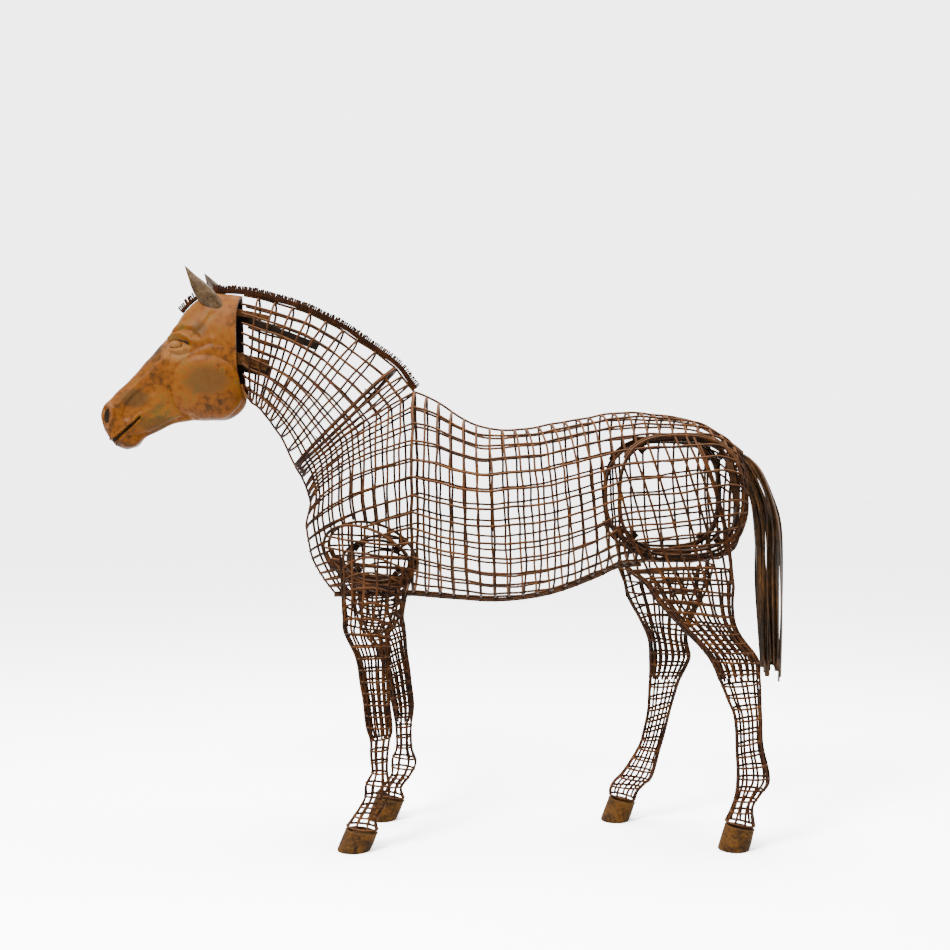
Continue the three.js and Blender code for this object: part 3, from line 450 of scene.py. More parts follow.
# top: how much of the pale painted highlight tone the faces that look up get.
def node_material(name, stops, rough, scale, top, highlight_tone=(0.62, 0.40, 0.27), gloss=0.02, bump=0.25,
                  streak=0.0, patches=()):
    """Rust: bands of brown mixed by noise, patches of patina (on the sheet, one is a painted highlight round
    the eye), and a painted highlight: a paler tone on faces that look up, as if lit from above.
    """
    material = bpy.data.materials.new(name)
    material.use_nodes = True
    tree = material.node_tree
    tree.nodes.clear()

    def new(kind, data_type=None, **values):
        node = tree.nodes.new("ShaderNode" + kind)
        if data_type:
            node.data_type = data_type
        for key, value in values.items():
            node.inputs[key.replace("_", " ")].default_value = value
        return node

    def link(source, node, key):
        tree.links.new(source, node.inputs[key])
        return node

    def tinted(color, share, tone):
        """A colour mixed with one flat tone."""
        mixed = new("Mix", "RGBA", B=(*tone, 1))
        link(share, mixed, "Factor")
        return link(color, mixed, "A").outputs["Result"]

    coords = new("TexCoord").outputs["Object"]
    grain = link(coords, new("Mapping", Scale=(1, 1, 1 - 0.75 * streak)), "Vector").outputs[0]
    broad = link(grain, new("TexNoise", Scale=scale, Detail=8, Roughness=0.62), "Vector").outputs["Fac"]
    speck = link(grain, new("TexNoise", Scale=scale * 7, Detail=5), "Vector").outputs["Fac"]
    both = link(speck, link(broad, new("Mix", Factor=0.38), "A"), "B").outputs["Result"]
    mottle = link(both, new("MapRange", From_Min=0.15, From_Max=0.85), "Value").outputs[0]

    ramp = new("ValToRGB")
    first, last = ramp.color_ramp.elements
    first.position, first.color = stops[0][0], (*stops[0][1], 1)
    last.position, last.color = stops[-1][0], (*stops[-1][1], 1)
    for at, tone in stops[1:-1]:
        ramp.color_ramp.elements.new(at).color = (*tone, 1)
    color = link(mottle, ramp, "Fac").outputs["Color"]

    for centre, radius, tone, share in patches:
        near = new("Mapping")
        near.vector_type = "TEXTURE"
        near.inputs["Location"].default_value = place(*centre)
        near.inputs["Scale"].default_value = [r * UNIT for r in radius]
        ball = new("TexGradient")
        ball.gradient_type = "SPHERICAL"
        link(link(coords, near, "Vector").outputs[0], ball, "Vector")
        broken = new("Math")
        broken.operation = "ADD"
        tree.links.new(ball.outputs["Fac"], broken.inputs[0])
        tree.links.new(mottle, broken.inputs[1])
        edge = new("MapRange", From_Min=0.78, From_Max=1.08, To_Max=share)
        color = tinted(color, link(broken.outputs[0], edge, "Value").outputs[0], tone)

    # Painted highlight: faces that look up are mixed towards the pale tone, as if lit from above.
    normal = link(new("NewGeometry").outputs["Normal"], new("SeparateXYZ"), 0)
    up = link(normal.outputs["Z"], new("MapRange", From_Min=0.15, From_Max=1.0, To_Max=top), "Value")
    rough_map = link(broad, new("MapRange", To_Min=rough[0], To_Max=rough[1]), "Value")
    pits = link(coords, new("TexNoise", Scale=220, Detail=6), "Vector").outputs["Fac"]
    bumps = link(pits, new("Bump", Strength=bump, Distance=0.0012), "Height")

    shader = new("BsdfPrincipled", Specular_IOR_Level=gloss)
    link(tinted(color, up.outputs[0], highlight_tone), shader, "Base Color")
    link(rough_map.outputs[0], shader, "Roughness")
    link(bumps.outputs[0], shader, "Normal")
    link(shader.outputs[0], new("OutputMaterial"), "Surface")
    return material


BAR = node_material(
    "bar_rust",
    [(0.30, (0.001, 0.0004, 0.0002)), (0.44, (0.0041, 0.0013, 0.0004)),
     (0.56, (0.012, 0.0035, 0.0006)), (0.70, (0.023, 0.0079, 0.0014))],
    rough=(0.5, 0.85), scale=14, highlight_tone=(0.071, 0.033, 0.015), top=0.5)
PLATE = node_material(
    "plate_rust",
    [(0.30, (0.0011, 0.0005, 0.0003)), (0.48, (0.004, 0.0016, 0.0005)),
     (0.62, (0.011, 0.0037, 0.0008)), (0.78, (0.021, 0.008, 0.0019))],
    rough=(0.45, 0.8), scale=16, highlight_tone=(0.054, 0.026, 0.013), top=0.35)
MANE = node_material(
    "mane_rust",
    [(0.30, (0.0018, 0.0006, 0.0002)), (0.5, (0.0072, 0.0021, 0.0006)), (0.7, (0.017, 0.0049, 0.001))],
    rough=(0.5, 0.85), scale=30, highlight_tone=(0.04, 0.014, 0.005), top=0.35)
STRAP = node_material(
    "strap_rust",
    [(0.30, (0.006, 0.0022, 0.0007)), (0.5, (0.024, 0.0084, 0.0019)), (0.7, (0.044, 0.02, 0.0067))],
    rough=(0.5, 0.85), scale=22, highlight_tone=(0.1, 0.048, 0.025), top=0.2)
# The sheet's patches: middle and radii in thousandths, tone, share. Olive on the cheek, grey on the nose,
# olive on the jaw and the temple, and a painted highlight: a bright orange glint round the eye.
SHEET = node_material(
    "sheet_rust",
    [(0.30, (0.0053, 0.0027, 0.0007)), (0.40, (0.017, 0.0058, 0.0006)), (0.50, (0.034, 0.0097, 0.0007)),
     (0.60, (0.039, 0.013, 0.001)), (0.72, (0.024, 0.013, 0.0017))],
    rough=(0.3, 0.6), gloss=0.025, scale=7, highlight_tone=(0.078, 0.033, 0.009), top=0.16, bump=0.4,
    patches=[
        ((-520, 0, 1024), (76, 400, 54), (0.0135, 0.0078, 0.0022), 0.62),
        ((-690, 0, 985), (55, 400, 34), (0.009, 0.0052, 0.0016), 0.65),
        ((-640, 0, 925), (60, 400, 26), (0.012, 0.0064, 0.0014), 0.6),
        ((-540, 0, 1140), (26, 400, 26), (0.012, 0.0075, 0.002), 0.6),
        # Painted highlight: the bright orange glint round the eye.
        ((-600, 0, 1090), (60, 400, 40), (0.06, 0.026, 0.008), 0.5),
    ])
HOOF = node_material(
    "hoof_rust",
    [(0.3, (0.0031, 0.0021, 0.0013)), (0.44, (0.011, 0.005, 0.0015)),
     (0.58, (0.027, 0.011, 0.0019)), (0.74, (0.015, 0.008, 0.0029))],
    rough=(0.55, 0.9), scale=16, highlight_tone=(0.088, 0.045, 0.017), top=0.2)
TAIL = node_material(
    "tail_rust",
    [(0.32, (0.0023, 0.0014, 0.0007)), (0.5, (0.01, 0.0045, 0.0015)),
     (0.62, (0.025, 0.01, 0.0022)), (0.8, (0.058, 0.025, 0.004))],
    rough=(0.35, 0.75), gloss=0.06, scale=22, highlight_tone=(0.13, 0.059, 0.024), top=0.2, streak=1.0)
EAR = node_material(
    "ear_iron",
    [(0.3, (0.004, 0.002, 0.0008)), (0.5, (0.0135, 0.0072, 0.0025)), (0.7, (0.027, 0.0172, 0.0087))],
    rough=(0.3, 0.6), gloss=0.04, scale=26, highlight_tone=(0.05, 0.038, 0.024), top=0.15)
# Near-black iron for painted shade: inside the head, in its recesses and on the far side's straps.
PAINTED_SHADE = node_material(
    "painted_shade_iron", [(0.3, (0.0008, 0.0006, 0.0004)), (0.7, (0.0056, 0.0028, 0.0014))],
    rough=(0.5, 0.8), scale=20, top=0.02)


def piece(name, batch, material, slot, *nodes, angle=0.6):
    """An object from a batch, smooth but for edges sharper than angle, in place of the named nodes."""
    mesh = bpy.data.meshes.new(name)
    mesh.from_pydata(np.vstack(batch.verts).tolist(), [], batch.faces)
    mesh.validate()
    mesh.update()
    mesh.polygons.foreach_set("use_smooth", [True] * len(mesh.polygons))
    mesh.set_sharp_from_angle(angle=angle)
    ob = bpy.data.objects.new(name, mesh)
    bpy.context.scene.collection.objects.link(ob)
    mesh.materials.append(material)
    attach(ob, "root")
    if nodes:
        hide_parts(*nodes)


# Level bars of the trunk: nearly even in height at the crease, closer at back and belly further on.
STRINGERS = 13
CHEST_BARS = 10
fine_f = np.linspace(0, 1, 2001)


def stringer(e, u, lift=0.30):
    """The place round a hoop of the level bar with share e, at hoop u."""
    u = np.asarray(u, float)
    bunch = mix(0.1, 0.6, np.clip(u / 4, 0, 1))
    rise = np.clip((u - 7.5) / 5.5, 0, 1)
    level = mix(1 - 2 * e, np.cos(np.pi * e), bunch) + lift * np.sin(np.pi * e) * rise ** 2 * (3 - 2 * rise)
    return np.interp(-np.clip(level, -1, 1), -height_share(fine_f), fine_f)


EVEN = np.linspace(0, 1, STRINGERS + 1)
CREASE_F = np.array([float(stringer(e, 0.0)) for e in EVEN])

# Hoops stand at an even pitch along the back, by x up to the croup and by arc behind it.
HOOP_PITCH = 27.9
LEG_RING_PITCH = 24.5
CROUP = 600
fine_u = np.linspace(0, len(TRUNK) - 1, 2001)
top_line = along(TRUNK, fine_u)[:, :2]
top_step = np.diff(top_line, axis=0)
top_arc = np.linalg.norm(top_step, axis=1)
top_run = np.r_[0, np.cumsum(np.where(top_line[1:, 0] < CROUP, top_step[:, 0], top_arc))]
HOOPS = int(top_run[-1] // HOOP_PITCH)
HOOP_U = np.interp(np.linspace(0, top_run[-1], HOOPS + 1), top_run, fine_u)


def offset_line(surface, u, v, side, lift):
    """Points of a surface, moved outwards by lift."""
    p = surface(u, v, side)
    h = 1e-3
    n = np.cross(surface(u + h, v, side) - p, surface(u, v + h, side) - p)
    size = np.linalg.norm(n, axis=1, keepdims=True)
    n = n / np.maximum(size, 1e-12)
    out = p - [0, 0, CAGE_MIDDLE_Z]
    out[:, 0] = 0
    sign = np.where(np.sum(n * out, axis=1, keepdims=True) < 0, -1, 1)
    return p + n * sign * lift * (size > 1e-9)


def trunk_bars():
    """Hoops and level bars of chest, barrel and croup, and the bars round shoulder and hip rings."""
    b = Batch()
    fine = np.linspace(0, 1, 54)
    for i, u in enumerate(HOOP_U):
        end_hoop = i in (0, HOOPS)
        for side in (-1, 1):
            jitter = 0 if end_hoop else rng.normal(0, 0.012)
            p = wobble(offset_line(trunk, np.full_like(fine, u + jitter), fine, side, -LAP))
            b.bars(p, ~inside(p, HIP, -2) & ~inside(p, SHOULDER_RIM, -2), ROD * (1.35 if end_hoop else 1.0))
    steps = np.linspace(0, len(TRUNK) - 1, 110)
    for k, e in enumerate(EVEN):
        in_midplane = k in (0, STRINGERS)
        for side in (-1,) if in_midplane else (-1, 1):
            jitter = 0 if in_midplane else rng.normal(0, 0.0025)
            p = wobble(offset_line(trunk, steps, stringer(e, steps) + jitter, side, LAP))
            b.bars(p, ~inside(p, SHOULDER_RIM, -2))
    rows = np.r_[0.06, 0.7, 1.35, CREST_ROWS + CREASE_F * (len(CHEST) - 1 - CREST_ROWS)]
    ts = np.linspace(0, 1, 45)
    for i, row in enumerate(rows):
        for side in (-1, 1):
            jitter = rng.normal(0, 0.02) if 3 < i < len(rows) - 1 else 0
            p = wobble(offset_line(chest, np.full_like(ts, row + jitter), ts, side, LAP))
            b.bars(p, ~inside(p, SHOULDER_RIM, -2))
    down = np.linspace(0.06, len(CHEST) - 1, 90)
    for j in range(CHEST_BARS):
        for side in (-1,) if j == 0 else (-1, 1):
            p = wobble(offset_line(chest, down, np.full_like(down, j / CHEST_BARS), side, -LAP))
            b.bars(p, ~inside(p, SHOULDER_RIM, -2))
    crest = np.linspace(0.06, CREST_ROWS, 12)
    b.tube(wobble(chest(crest, np.ones_like(crest), -1)))
    # Arcs round the rings: growth in thousandths, first and last angle, thickness in rods.
    shoulder_arcs = ((0, 0, 2 * np.pi, 1.3), (-5, 3.3, 6.1, 1.5), (-10, 3.6, 5.9, 1.2))
    hip_arcs = ((-1, 0, 2 * np.pi, 1.4), (9, 3.5, 5.8, 1.6), (4, 0.4, 2.6, 1.0))
    for side in (-1, 1):
        for ring, surface, near, count, arcs in (
                (SHOULDER_RIM, chest, ON_CHEST, 72, shoulder_arcs), (HIP, trunk, ON_HIP, 96, hip_arcs)):
            for grow, first, last, thick in arcs:
                x, z = ring_line(ring, count, grow, first, last)
                p, _ = skin_at(surface, x, z, near, side)
                b.tube(p, ROD * thick, closed=last - first > 6)
    # Bars across the rear, between the two halves of the last hoop.
    end = len(TRUNK) - 1.0
    share = np.linspace(0, 1, 17)
    levels = []
    for e in EVEN[2:-1]:
        f = stringer(e, end, 0.15)
        left, right = trunk(end, f, -1)[0], trunk(end, f, 1)[0]
        levels.append(left + np.outer(share, right - left) + np.outer(np.sin(np.pi * share), [0.004, 0, 0]))
        b.tube(wobble(levels[-1]))
    for k in (4, 8, 12):
        b.tube(wobble(np.array([level[k] for level in levels]) - [0.002, 0, 0]))
    return b


def croup_plate():
    """The flat bar along the rear of the left hip, inside the bars."""
    b = Batch()
    x = np.linspace(628, 645, 12)
    p, n = skin_at(trunk, x * UNIT + SHIFT, np.linspace(846, 745, 12) * UNIT, (12.6, 0.4), -1)
    b.flat(p - n * 0.007, [1, 0.5, 0], 0.026, 0.004)
    return b


def neck_bars():
    b = Batch()
    ts = np.linspace(0, 1, 45)
    last = len(NECK) - 1.06
    for i in range(1, 10):
        for side in (-1, 1):
            b.tube(wobble(neck(np.full_like(ts, min(i, last)), ts, side)))
    us = np.linspace(0.1, last, 54)
    for j in range(11):
        for side in (-1,) if j in (0, 10) else (-1, 1):
            b.tube(wobble(neck(us, np.full_like(us, j / 10), side)))
    return b


def leg_bars(rows, sides, side, upper, count, split, lower_count, first_ring):
    """A leg: rods down to the hock or knee, fewer below, and rings at an even pitch."""
    b = Batch()
    last = len(rows) - 1
    rods = []
    for k in range(count):
        a = 2 * math.pi * k / count
        head_part = upper(a, side)
        down = np.linspace(0.9 if len(head_part) else 0, split, int(14 * split))
        p = leg(rows, sides, down, np.full_like(down, a), side)
        p = spline(np.vstack([head_part, p]), 64) if len(head_part) else p
        rods.append((a, p))
        b.tube(wobble(p, 0.0009))
    for k in range(lower_count):
        a = 2 * math.pi * (k + 0.5) / lower_count
        down = np.linspace(split, last, 60)
        b.tube(wobble(leg(rows, sides, down, np.full_like(down, a), side), 0.0007), ROD * 0.95)
    mid = along(rows, np.linspace(0, last, 400))
    centre = np.stack([(mid[:, 0] + mid[:, 2]) / 2, (mid[:, 1] + mid[:, 3]) / 2], -1)
    run = reach_along(centre)
    rings = int(run[-1] // LEG_RING_PITCH)
    angles = np.arange(28) * 2 * np.pi / 28
    for s in np.linspace(first_ring, run[-1], rings):
        t = np.interp(s, run, np.linspace(0, last, 400))
        ring = leg(rows, sides, np.full_like(angles, t), angles, side)
        if t < 0.95:
            crossings = []
            for a, p in rods:
                z = leg(rows, sides, t, a, side)[0, 2]
                crossings.append([np.interp(-z, -p[:, 2], p[:, 0]), np.interp(-z, -p[:, 2], p[:, 1]), z])
            round_trip = np.array(crossings[-1:] + crossings + crossings[:2])
            ring = along(round_trip, np.linspace(1, count + 1, 4 * count, endpoint=False))
        b.tube(wobble(ring, 0.0007), ROD * 0.95, closed=True)
    return b


def rod_top(x, z, surface, near, ring, side):
    """The upper end of a leg's rod, on the skin inside a ring. Rods of the inner side have none."""
    p, _ = skin_at(surface, x, z, near, side)
    p = p[inside(p, ring, 1)]
    return p if len(p) > 2 else NO_LINE


def haunch(a, side):
    """The upper end of a thigh rod, sheared towards the croup."""
    if math.sin(a) < -0.05:
        return NO_LINE
    foot = leg(LEFT_HIND if side < 0 else RIGHT_HIND, HIND_SIDE, 0.25, a, side)[0]
    shear = -0.125 if side < 0 else -0.02
    top = (HIP["z"] + HIP["half_z"]) * UNIT
    z = np.linspace(top, 0.985, 16)
    x = foot[0] + shear * ((z - foot[2]) / (top - foot[2])) ** 1.1
    return rod_top(x, z, trunk, ON_HIP, HIP, side)


def withers_arm(a, side):
    """The upper end of a forearm rod, fanned out from the shoulder's middle."""
    if math.sin(a) < -0.05:
        return NO_LINE
    foot = leg(LEFT_FORE if side < 0 else RIGHT_FORE, FORE_SIDE, 0.6, a, side)[0]
    z = np.linspace(0.715, 0.66, 12) * 1.5
    spread = 1 + 0.12 * (z - foot[2]) / 0.2
    middle = -151 * UNIT + SHIFT
    x = middle + (foot[0] - middle) * spread
    return rod_top(x, z, chest, (8.0, 0.6), SHOULDER_RIM, side)


def shoulder_rows(b, side):
    """The level bars across the shoulder, from the rim's front to its back."""
    x = np.linspace(-262, -58, 40)
    for front_z in (677, 652, 629, 606, 584):
        z = front_z - 0.1 * (x + 260)
        p, _ = skin_at(chest, x * UNIT + SHIFT, z * UNIT, (8.5, 0.5), side)
        keep = inside(p, SHOULDER_RIM, 1) & (np.abs(p[:, 2] - z * UNIT) < 0.004)
        # The shoulder swells outwards, most at its middle and its foot.
        low = np.clip((674 - p[:, 2] / UNIT) / 90, 0, 1)
        mid = np.clip(1 - ((p[:, 0] - SHIFT) / UNIT + 146) ** 2 / 95 ** 2, 0, 1)
        p[:, 1] += side * 0.04 * low * mid
        b.bars(wobble(p), keep)


def flat_ring(ring, surface, near, side, lugs, size, inset=0.012, depth=0.034):
    """Two flat bars face to face under the skin, with bolted lugs."""
    b = Batch()
    x, z = ring_line(ring, 96)
    p, n = skin_at(surface, x, z, near, side)
    p = p - n * inset
    inward = np.stack([ring["x"] * UNIT + SHIFT - x, np.zeros_like(x), ring["z"] * UNIT - z], -1)
    inward /= np.linalg.norm(inward, axis=1, keepdims=True)
    down = np.array([0, -side, 0.0])
    each = depth / 2 - 0.001
    for k in (0, 1):
        line = p + down * (each / 2 + k * (each + 0.002)) + inward * size / 2
        b.flat(line, down, each, size, closed=True)
    for at in lugs:
        i = int(at * 96) % 96
        centre = p[i] + inward[i] * (size + 0.008) + down * depth / 2
        b.box(centre, inward[i] * 0.02, down * depth * 0.55, np.cross(inward[i], down) * 0.024)
        b.bolt(centre + inward[i] * 0.004, down, 0.0065, depth * 0.8)
    return b


def flange(direction):
    """One of two flat ovals face to face: upper (-1), with the lugs and their bolts, or lower (1)."""
    b = Batch()
    top, low = place(-105, 0, 1056), place(-331, 0, 834)
    centre, half = (top + low) / 2, (top - low) / 2
    axis = np.cross([0, 1, 0], top - low)
    axis /= np.linalg.norm(axis)
    a = np.arange(96) * 2 * np.pi / 96
    inset = 0.008
    ring = centre + np.cos(a)[:, None] * half * (1 - inset / np.linalg.norm(half))
    ring[:, 1] = np.sin(a) * (77 * UNIT - inset)
    ring = ring + axis * direction * (FLAT / 2 + 0.001)
    inward = centre - ring
    b.flat(ring, inward, 0.02, FLAT, closed=True)
    if direction < 0:
        for k in (15, 24, 33, 63, 72, 81):
            towards = inward[k] / np.linalg.norm(inward[k])
            lug = ring[k] + towards * 0.016 + axis * 0.003
            b.box(lug, axis * 0.010, towards * 0.013, np.cross(axis, towards) * 0.014)
            b.bolt(lug, axis, 0.0045, 0.018)
    return b


def keel():
    """The flat bar under the belly line, three rods along it and a stud under each hoop."""
    b = Batch()
    low = along(TRUNK, np.linspace(0, 9.3, 90))
    front = np.linspace(-244, -64, 20)
    line = np.vstack([
        place(front, 0, np.interp(front, [-244, -61], [548, 550])),
        place(low[:, 2], 0, low[:, 3]),
    ])
    line[:, 2] -= 0.0085
    b.flat(line, [0, 1, 0], 0.015, 0.008)
    for y, rise in ((-0.008, -0.004), (0.008, -0.004), (0, 0.002)):
        b.tube(line + [0, y, rise])
    for u in HOOP_U[HOOP_U < 8.8]:
        hoop = along(TRUNK, u)[0]
        stud = place(hoop[2], 0, hoop[3]) - [0, 0, 0.009]
        b.tube([stud + [0, 0, 0.006], stud - [0, 0, 0.008]], 0.0058, sides=7)
    return b


def comb(line, pitch, width, strip, teeth, lean=0.0):
    """A ribbed strip along a line of points in the midplane, with a tooth above each rib."""
    b = Batch()
    line = spline(line, 220)
    steps = reach_along(line)
    t = tangents(line, False)
    up = np.stack([-t[:, 2], np.zeros(len(t)), t[:, 0]], -1)
    b.flat(line + up * (ROD + strip / 2), up, strip, width * 0.72)
    for s in np.arange(pitch / 2, steps[-1], pitch):
        s = s + rng.normal(0, pitch * 0.07)
        p = np.array([np.interp(s, steps, line[:, k]) for k in range(3)])
        d = np.array([np.interp(s, steps, t[:, k]) for k in range(3)])
        d /= np.linalg.norm(d)
        n = np.array([-d[2], 0, d[0]])
        bent = n + d * rng.normal(lean, 0.12)
        bent /= np.linalg.norm(bent)
        y = rng.normal(0, 0.0008)
        low = p + n * (ROD + 0.001) + [0, y, 0]
        neck_end = p + n * (ROD + strip) + [0, y, 0]
        tip = neck_end + bent * teeth * (1 + rng.normal(0, 0.14))
        tooth = np.array([low, neck_end, mix(neck_end, tip, 0.6), tip])
        b.flat(tooth, [0, 1, 0], width * (1 + rng.normal(0, 0.06)), pitch * 0.55, bevel=0.22)
    return b


def mane_line():
    x, z = np.vstack([[(-519, 1223), (-485, 1222)], NECK[:, :2], [(-84, 1028), (-66, 1004)]]).T
    return place(x, 0, z)


def ear(side):
    """A leaf-shaped spike with a fold down its front."""
    b = Batch()
    base = np.array([-503, side * 36, 1190], float)
    tip = np.array([-573, -47, 1281] if side < 0 else [-548, 44, 1278], float)
    axis = (tip - base) / np.linalg.norm(tip - base)
    wide = np.cross([0, side, 0], axis)
    wide /= np.linalg.norm(wide)
    deep = np.cross(axis, wide)
    a = np.arange(20) * 2 * np.pi / 20
    rings = []
    for t in np.linspace(-0.2, 1, 30):
        q = max(t, 0)
        leaf = (1 - q ** 3.2) ** 0.85 * (0.78 + 0.26 * math.sin(math.pi * min(q * 1.3, 1)))
        size = max(leaf * (1 - 0.3 * q * q), 0.03)
        fold = 1 - 0.42 * np.exp(-((a - 1.5 * np.pi) / 0.45) ** 2) * (0.12 < t < 0.97)
        centre = base + (tip - base) * t + wide * 4 * math.sin(math.pi * q)
        edge = np.outer(np.cos(a) * 20.5 * size, wide) + np.outer(np.sin(a) * 12 * size * fold, deep)
        rings.append(centre + edge)
    rings = np.array(rings)
    b.sweep(place(rings[..., 0], rings[..., 1], rings[..., 2]))
    return b


# The head

# Folds of the sheet, in thousandths: height, points of the line in side view, width, sharpness.
RELIEF = [
    # Brow, lids, eyeball and the hollow under the eye.
    (9.0, [(-606, 1117), (-597, 1124), (-581, 1127), (-563, 1119), (-552, 1108)], 5.0, 2),
    (-3.5, [(-599, 1133), (-578, 1140), (-554, 1135), (-541, 1122)], 3.2, 2),
    (2.5, [(-602, 1142), (-580, 1150), (-556, 1146)], 7, 2),
    (-4.5, [(-603, 1105), (-586, 1108), (-566, 1104)], 8.5, 4),
    (4.5, [(-605, 1094), (-588, 1089), (-568, 1093)], 3.4, 2),
    (-4.5, [(-600, 1084), (-580, 1080), (-558, 1087), (-540, 1098), (-513, 1109)], 4.2, 2),
    (-2.5, [(-552, 1124), (-530, 1146), (-513, 1174)], 4, 2),
    (-2.0, [(-513, 1109), (-486, 1102), (-462, 1080)], 5, 2),
    # Nose: a ridge along the front, a sunk panel with a hard upper edge.
    (4.0, [(-606, 1082), (-631, 1059), (-663, 1031), (-697, 1003), (-728, 969)], 6, 2),
    (-5.5, [(-644, 1008), (-660, 1004), (-680, 989), (-700, 966), (-708, 950)], 14, 6),
    (2.5, [(-641, 1022), (-656, 1020), (-678, 1008), (-697, 992), (-712, 972), (-719, 950)], 3.0, 2),
    (3.0, [(-672, 948), (-650, 965), (-628, 981)], 5, 2),
    (-2.0, [(-664, 938), (-640, 956), (-612, 972)], 4, 2),
    # Nostril rim, lips, chin and the double edge of the jaw.
    (5.0, [(-747, 974), (-738, 962), (-735, 946), (-739, 930), (-746, 922)], 3.6, 2),
    (-10, [(-756, 960), (-754, 949), (-756, 938)], 8.0, 4),
    (5.0, [(-750, 893), (-730, 903), (-703, 926), (-676, 950)], 2.6, 2),
    (4.5, [(-735, 881), (-714, 902), (-694, 920), (-674, 941)], 2.4, 2),
    (-8.0, [(-744, 888), (-722, 902), (-698, 923), (-678, 943)], 2.6, 2),
    (4.0, [(-714, 884), (-698, 882), (-680, 888)], 8, 2),
    (-3.5, [(-700, 901), (-684, 903), (-668, 906), (-652, 908)], 4, 2),
    (3.5, [(-661, 898), (-625, 918), (-588, 935), (-552, 940)], 3.0, 2),
    (-3.0, [(-652, 912), (-619, 929), (-581, 945), (-560, 949)], 3.6, 2),
]


def line_distance(x, z, points):
    best = np.full(x.shape, 1e9)
    for (ax, az), (bx, bz) in zip(points, points[1:]):
        t = ((x - ax) * (bx - ax) + (z - az) * (bz - az)) / ((bx - ax) ** 2 + (bz - az) ** 2)
        t = np.clip(t, 0, 1)
        best = np.minimum(best, np.hypot(x - ax - t * (bx - ax), z - az - t * (bz - az)))
    return best


def relief(x, z):
    """Height of the head's relief in thousandths, at x, z in side view."""
    # Cheek: a flat disc with a sharp rim, and a groove round it.
    d = np.hypot((x + 525) / 1.12, z - 1006)
    h = 5.5 * np.sqrt(np.clip(1 - (d / 72) ** 6, 0, 1)) - 3.0 * np.exp(-((d - 76) / 3.0) ** 2)
    # A boss behind the eye.
    h += 3.0 * np.exp(-((x + 507) ** 2 + (z - 1114) ** 2) / 7 ** 2)
    for height, points, width, power in RELIEF:
        h += height * np.exp(-(line_distance(x, z, points) / width) ** power)
    return np.maximum(h, -6.2)


def head_grid(u, count):
    """Points of the head's skin: count to a row, down the left side and up the right."""
    k = np.arange(count)
    f = np.where(k <= count // 2, k, count - k) * 2 / count
    side = np.where(k <= count // 2, -1, 1)
    p = hoop_points(along(HEAD, np.repeat(u, count)), np.tile(f, len(u)), np.tile(side, len(u)))
    return p.reshape(len(u), count, 3)


def head():
    """The sheet shell with its relief, open at the back, and its inner wall."""
    b = Batch()
    p = head_grid(np.concatenate([np.linspace(0, 2, 60)[:-1], np.linspace(2, 12, 200)]), 140)
    n = np.cross(np.gradient(p, axis=0), np.roll(p, -1, axis=1) - np.roll(p, 1, axis=1))
    n /= np.maximum(np.linalg.norm(n, axis=2, keepdims=True), 1e-12)
    centre = p.mean(axis=1, keepdims=True)
    n *= np.where(np.sum(n * (p - centre), axis=2, keepdims=True) < 0, -1, 1)
    x, y, z = p[..., 0], p[..., 1], p[..., 2]
    side_on = np.clip(np.abs(n[..., 1]) * 1.6, 0, 1)
    h = relief((x - SHIFT) / UNIT, z / UNIT) * side_on * UNIT
    h = h + 0.0010 * (np.sin(60 * x + 41 * z) * np.sin(47 * z - 23 * x + 9 * y))
    inner = (p - n * 0.011)[2:][::-3]
    b.sweep(np.concatenate([p + n * h[..., None], inner]))
    return b


def head_skin(u, f, side):
    return hoop_points(along(HEAD, u), np.clip(f, 0, 1), side)


def head_painted_shade():
    """Painted shade: dark strips sunk in the slit between the lips, under the upper lids and in a line down
    the eye, and dark cups in the nostrils.
    """
    b = Batch()
    # Points in side view, where the search for the skin starts, depth and height of each painted shade strip.
    lines = (
        ([(-746, 887), (-722, 902), (-698, 923), (-679, 943)], (1.5, 0.6), 0.005, 0.0058),
        ([(-607, 1108), (-596, 1114), (-579, 1115), (-563, 1107)], (7.5, 0.25), 0.0046, 0.0075),
        ([(-603, 1107), (-604, 1101), (-602, 1094)], (7.5, 0.25), 0.0035, 0.007),
    )
    a = np.linspace(0, 2 * np.pi, 28, endpoint=False)
    for side in (-1, 1):
        for points, near, deep, tall in lines:
            line = spline(np.array([place(x, 0, z) for x, z in points]), 26)
            p, n = skin_at(head_skin, line[:, 0], line[:, 2], near, side)
            b.flat(p - n * deep, n, 0.004, tall)
        # Painted shade: a dark cup sunk in each nostril.
        rings = []
        for share, deep in ((1.0, 0.014), (1.0, 0.0045), (0.6, 0.0055)):
            z = 946 + 17.5 * share * np.sin(a) + 3 * share * np.cos(a)
            edge = place(-752.5 + 8.8 * share * np.cos(a), 0, z)
            p, n = skin_at(head_skin, edge[:, 0], edge[:, 2], (1.2, 0.35), side)
            rings.append(p - n * deep)
        b.sweep(np.array(rings))
    return b


def head_inner_shade():
    """Painted shade: a dark sheet for the shaded inside of the head, just clear of the shell's inner wall."""
    b = Batch()
    p = head_grid(np.linspace(3.2, 12, 40), 40)
    away = p - p.mean(axis=1, keepdims=True)
    away /= np.linalg.norm(away, axis=2, keepdims=True)
    b.sweep(np.concatenate([p - away * 0.0135, (p - away * 0.0165)[::-1]]))
    return b


def eyes():
    b = Batch()
    rows, count = 8, 14
    for side in (-1, 1):
        centre = place(-591, side * 54.0, 1104)
        verts = []
        for i in range(rows + 1):
            tilt = math.pi * i / rows
            for j in range(count):
                turn = 2 * math.pi * j / count
                across, up = math.sin(tilt) * math.cos(turn), math.sin(tilt) * math.sin(turn)
                verts.append(centre + np.array([across * 0.022, math.cos(tilt) * 0.013, up * 0.0145]))
        faces = []
        for a in range(0, rows * count, count):
            for j in range(count):
                q = (j + 1) % count
                faces.append((a + j, a + q, a + count + q, a + count + j))
        b.put(verts, faces)
    return b


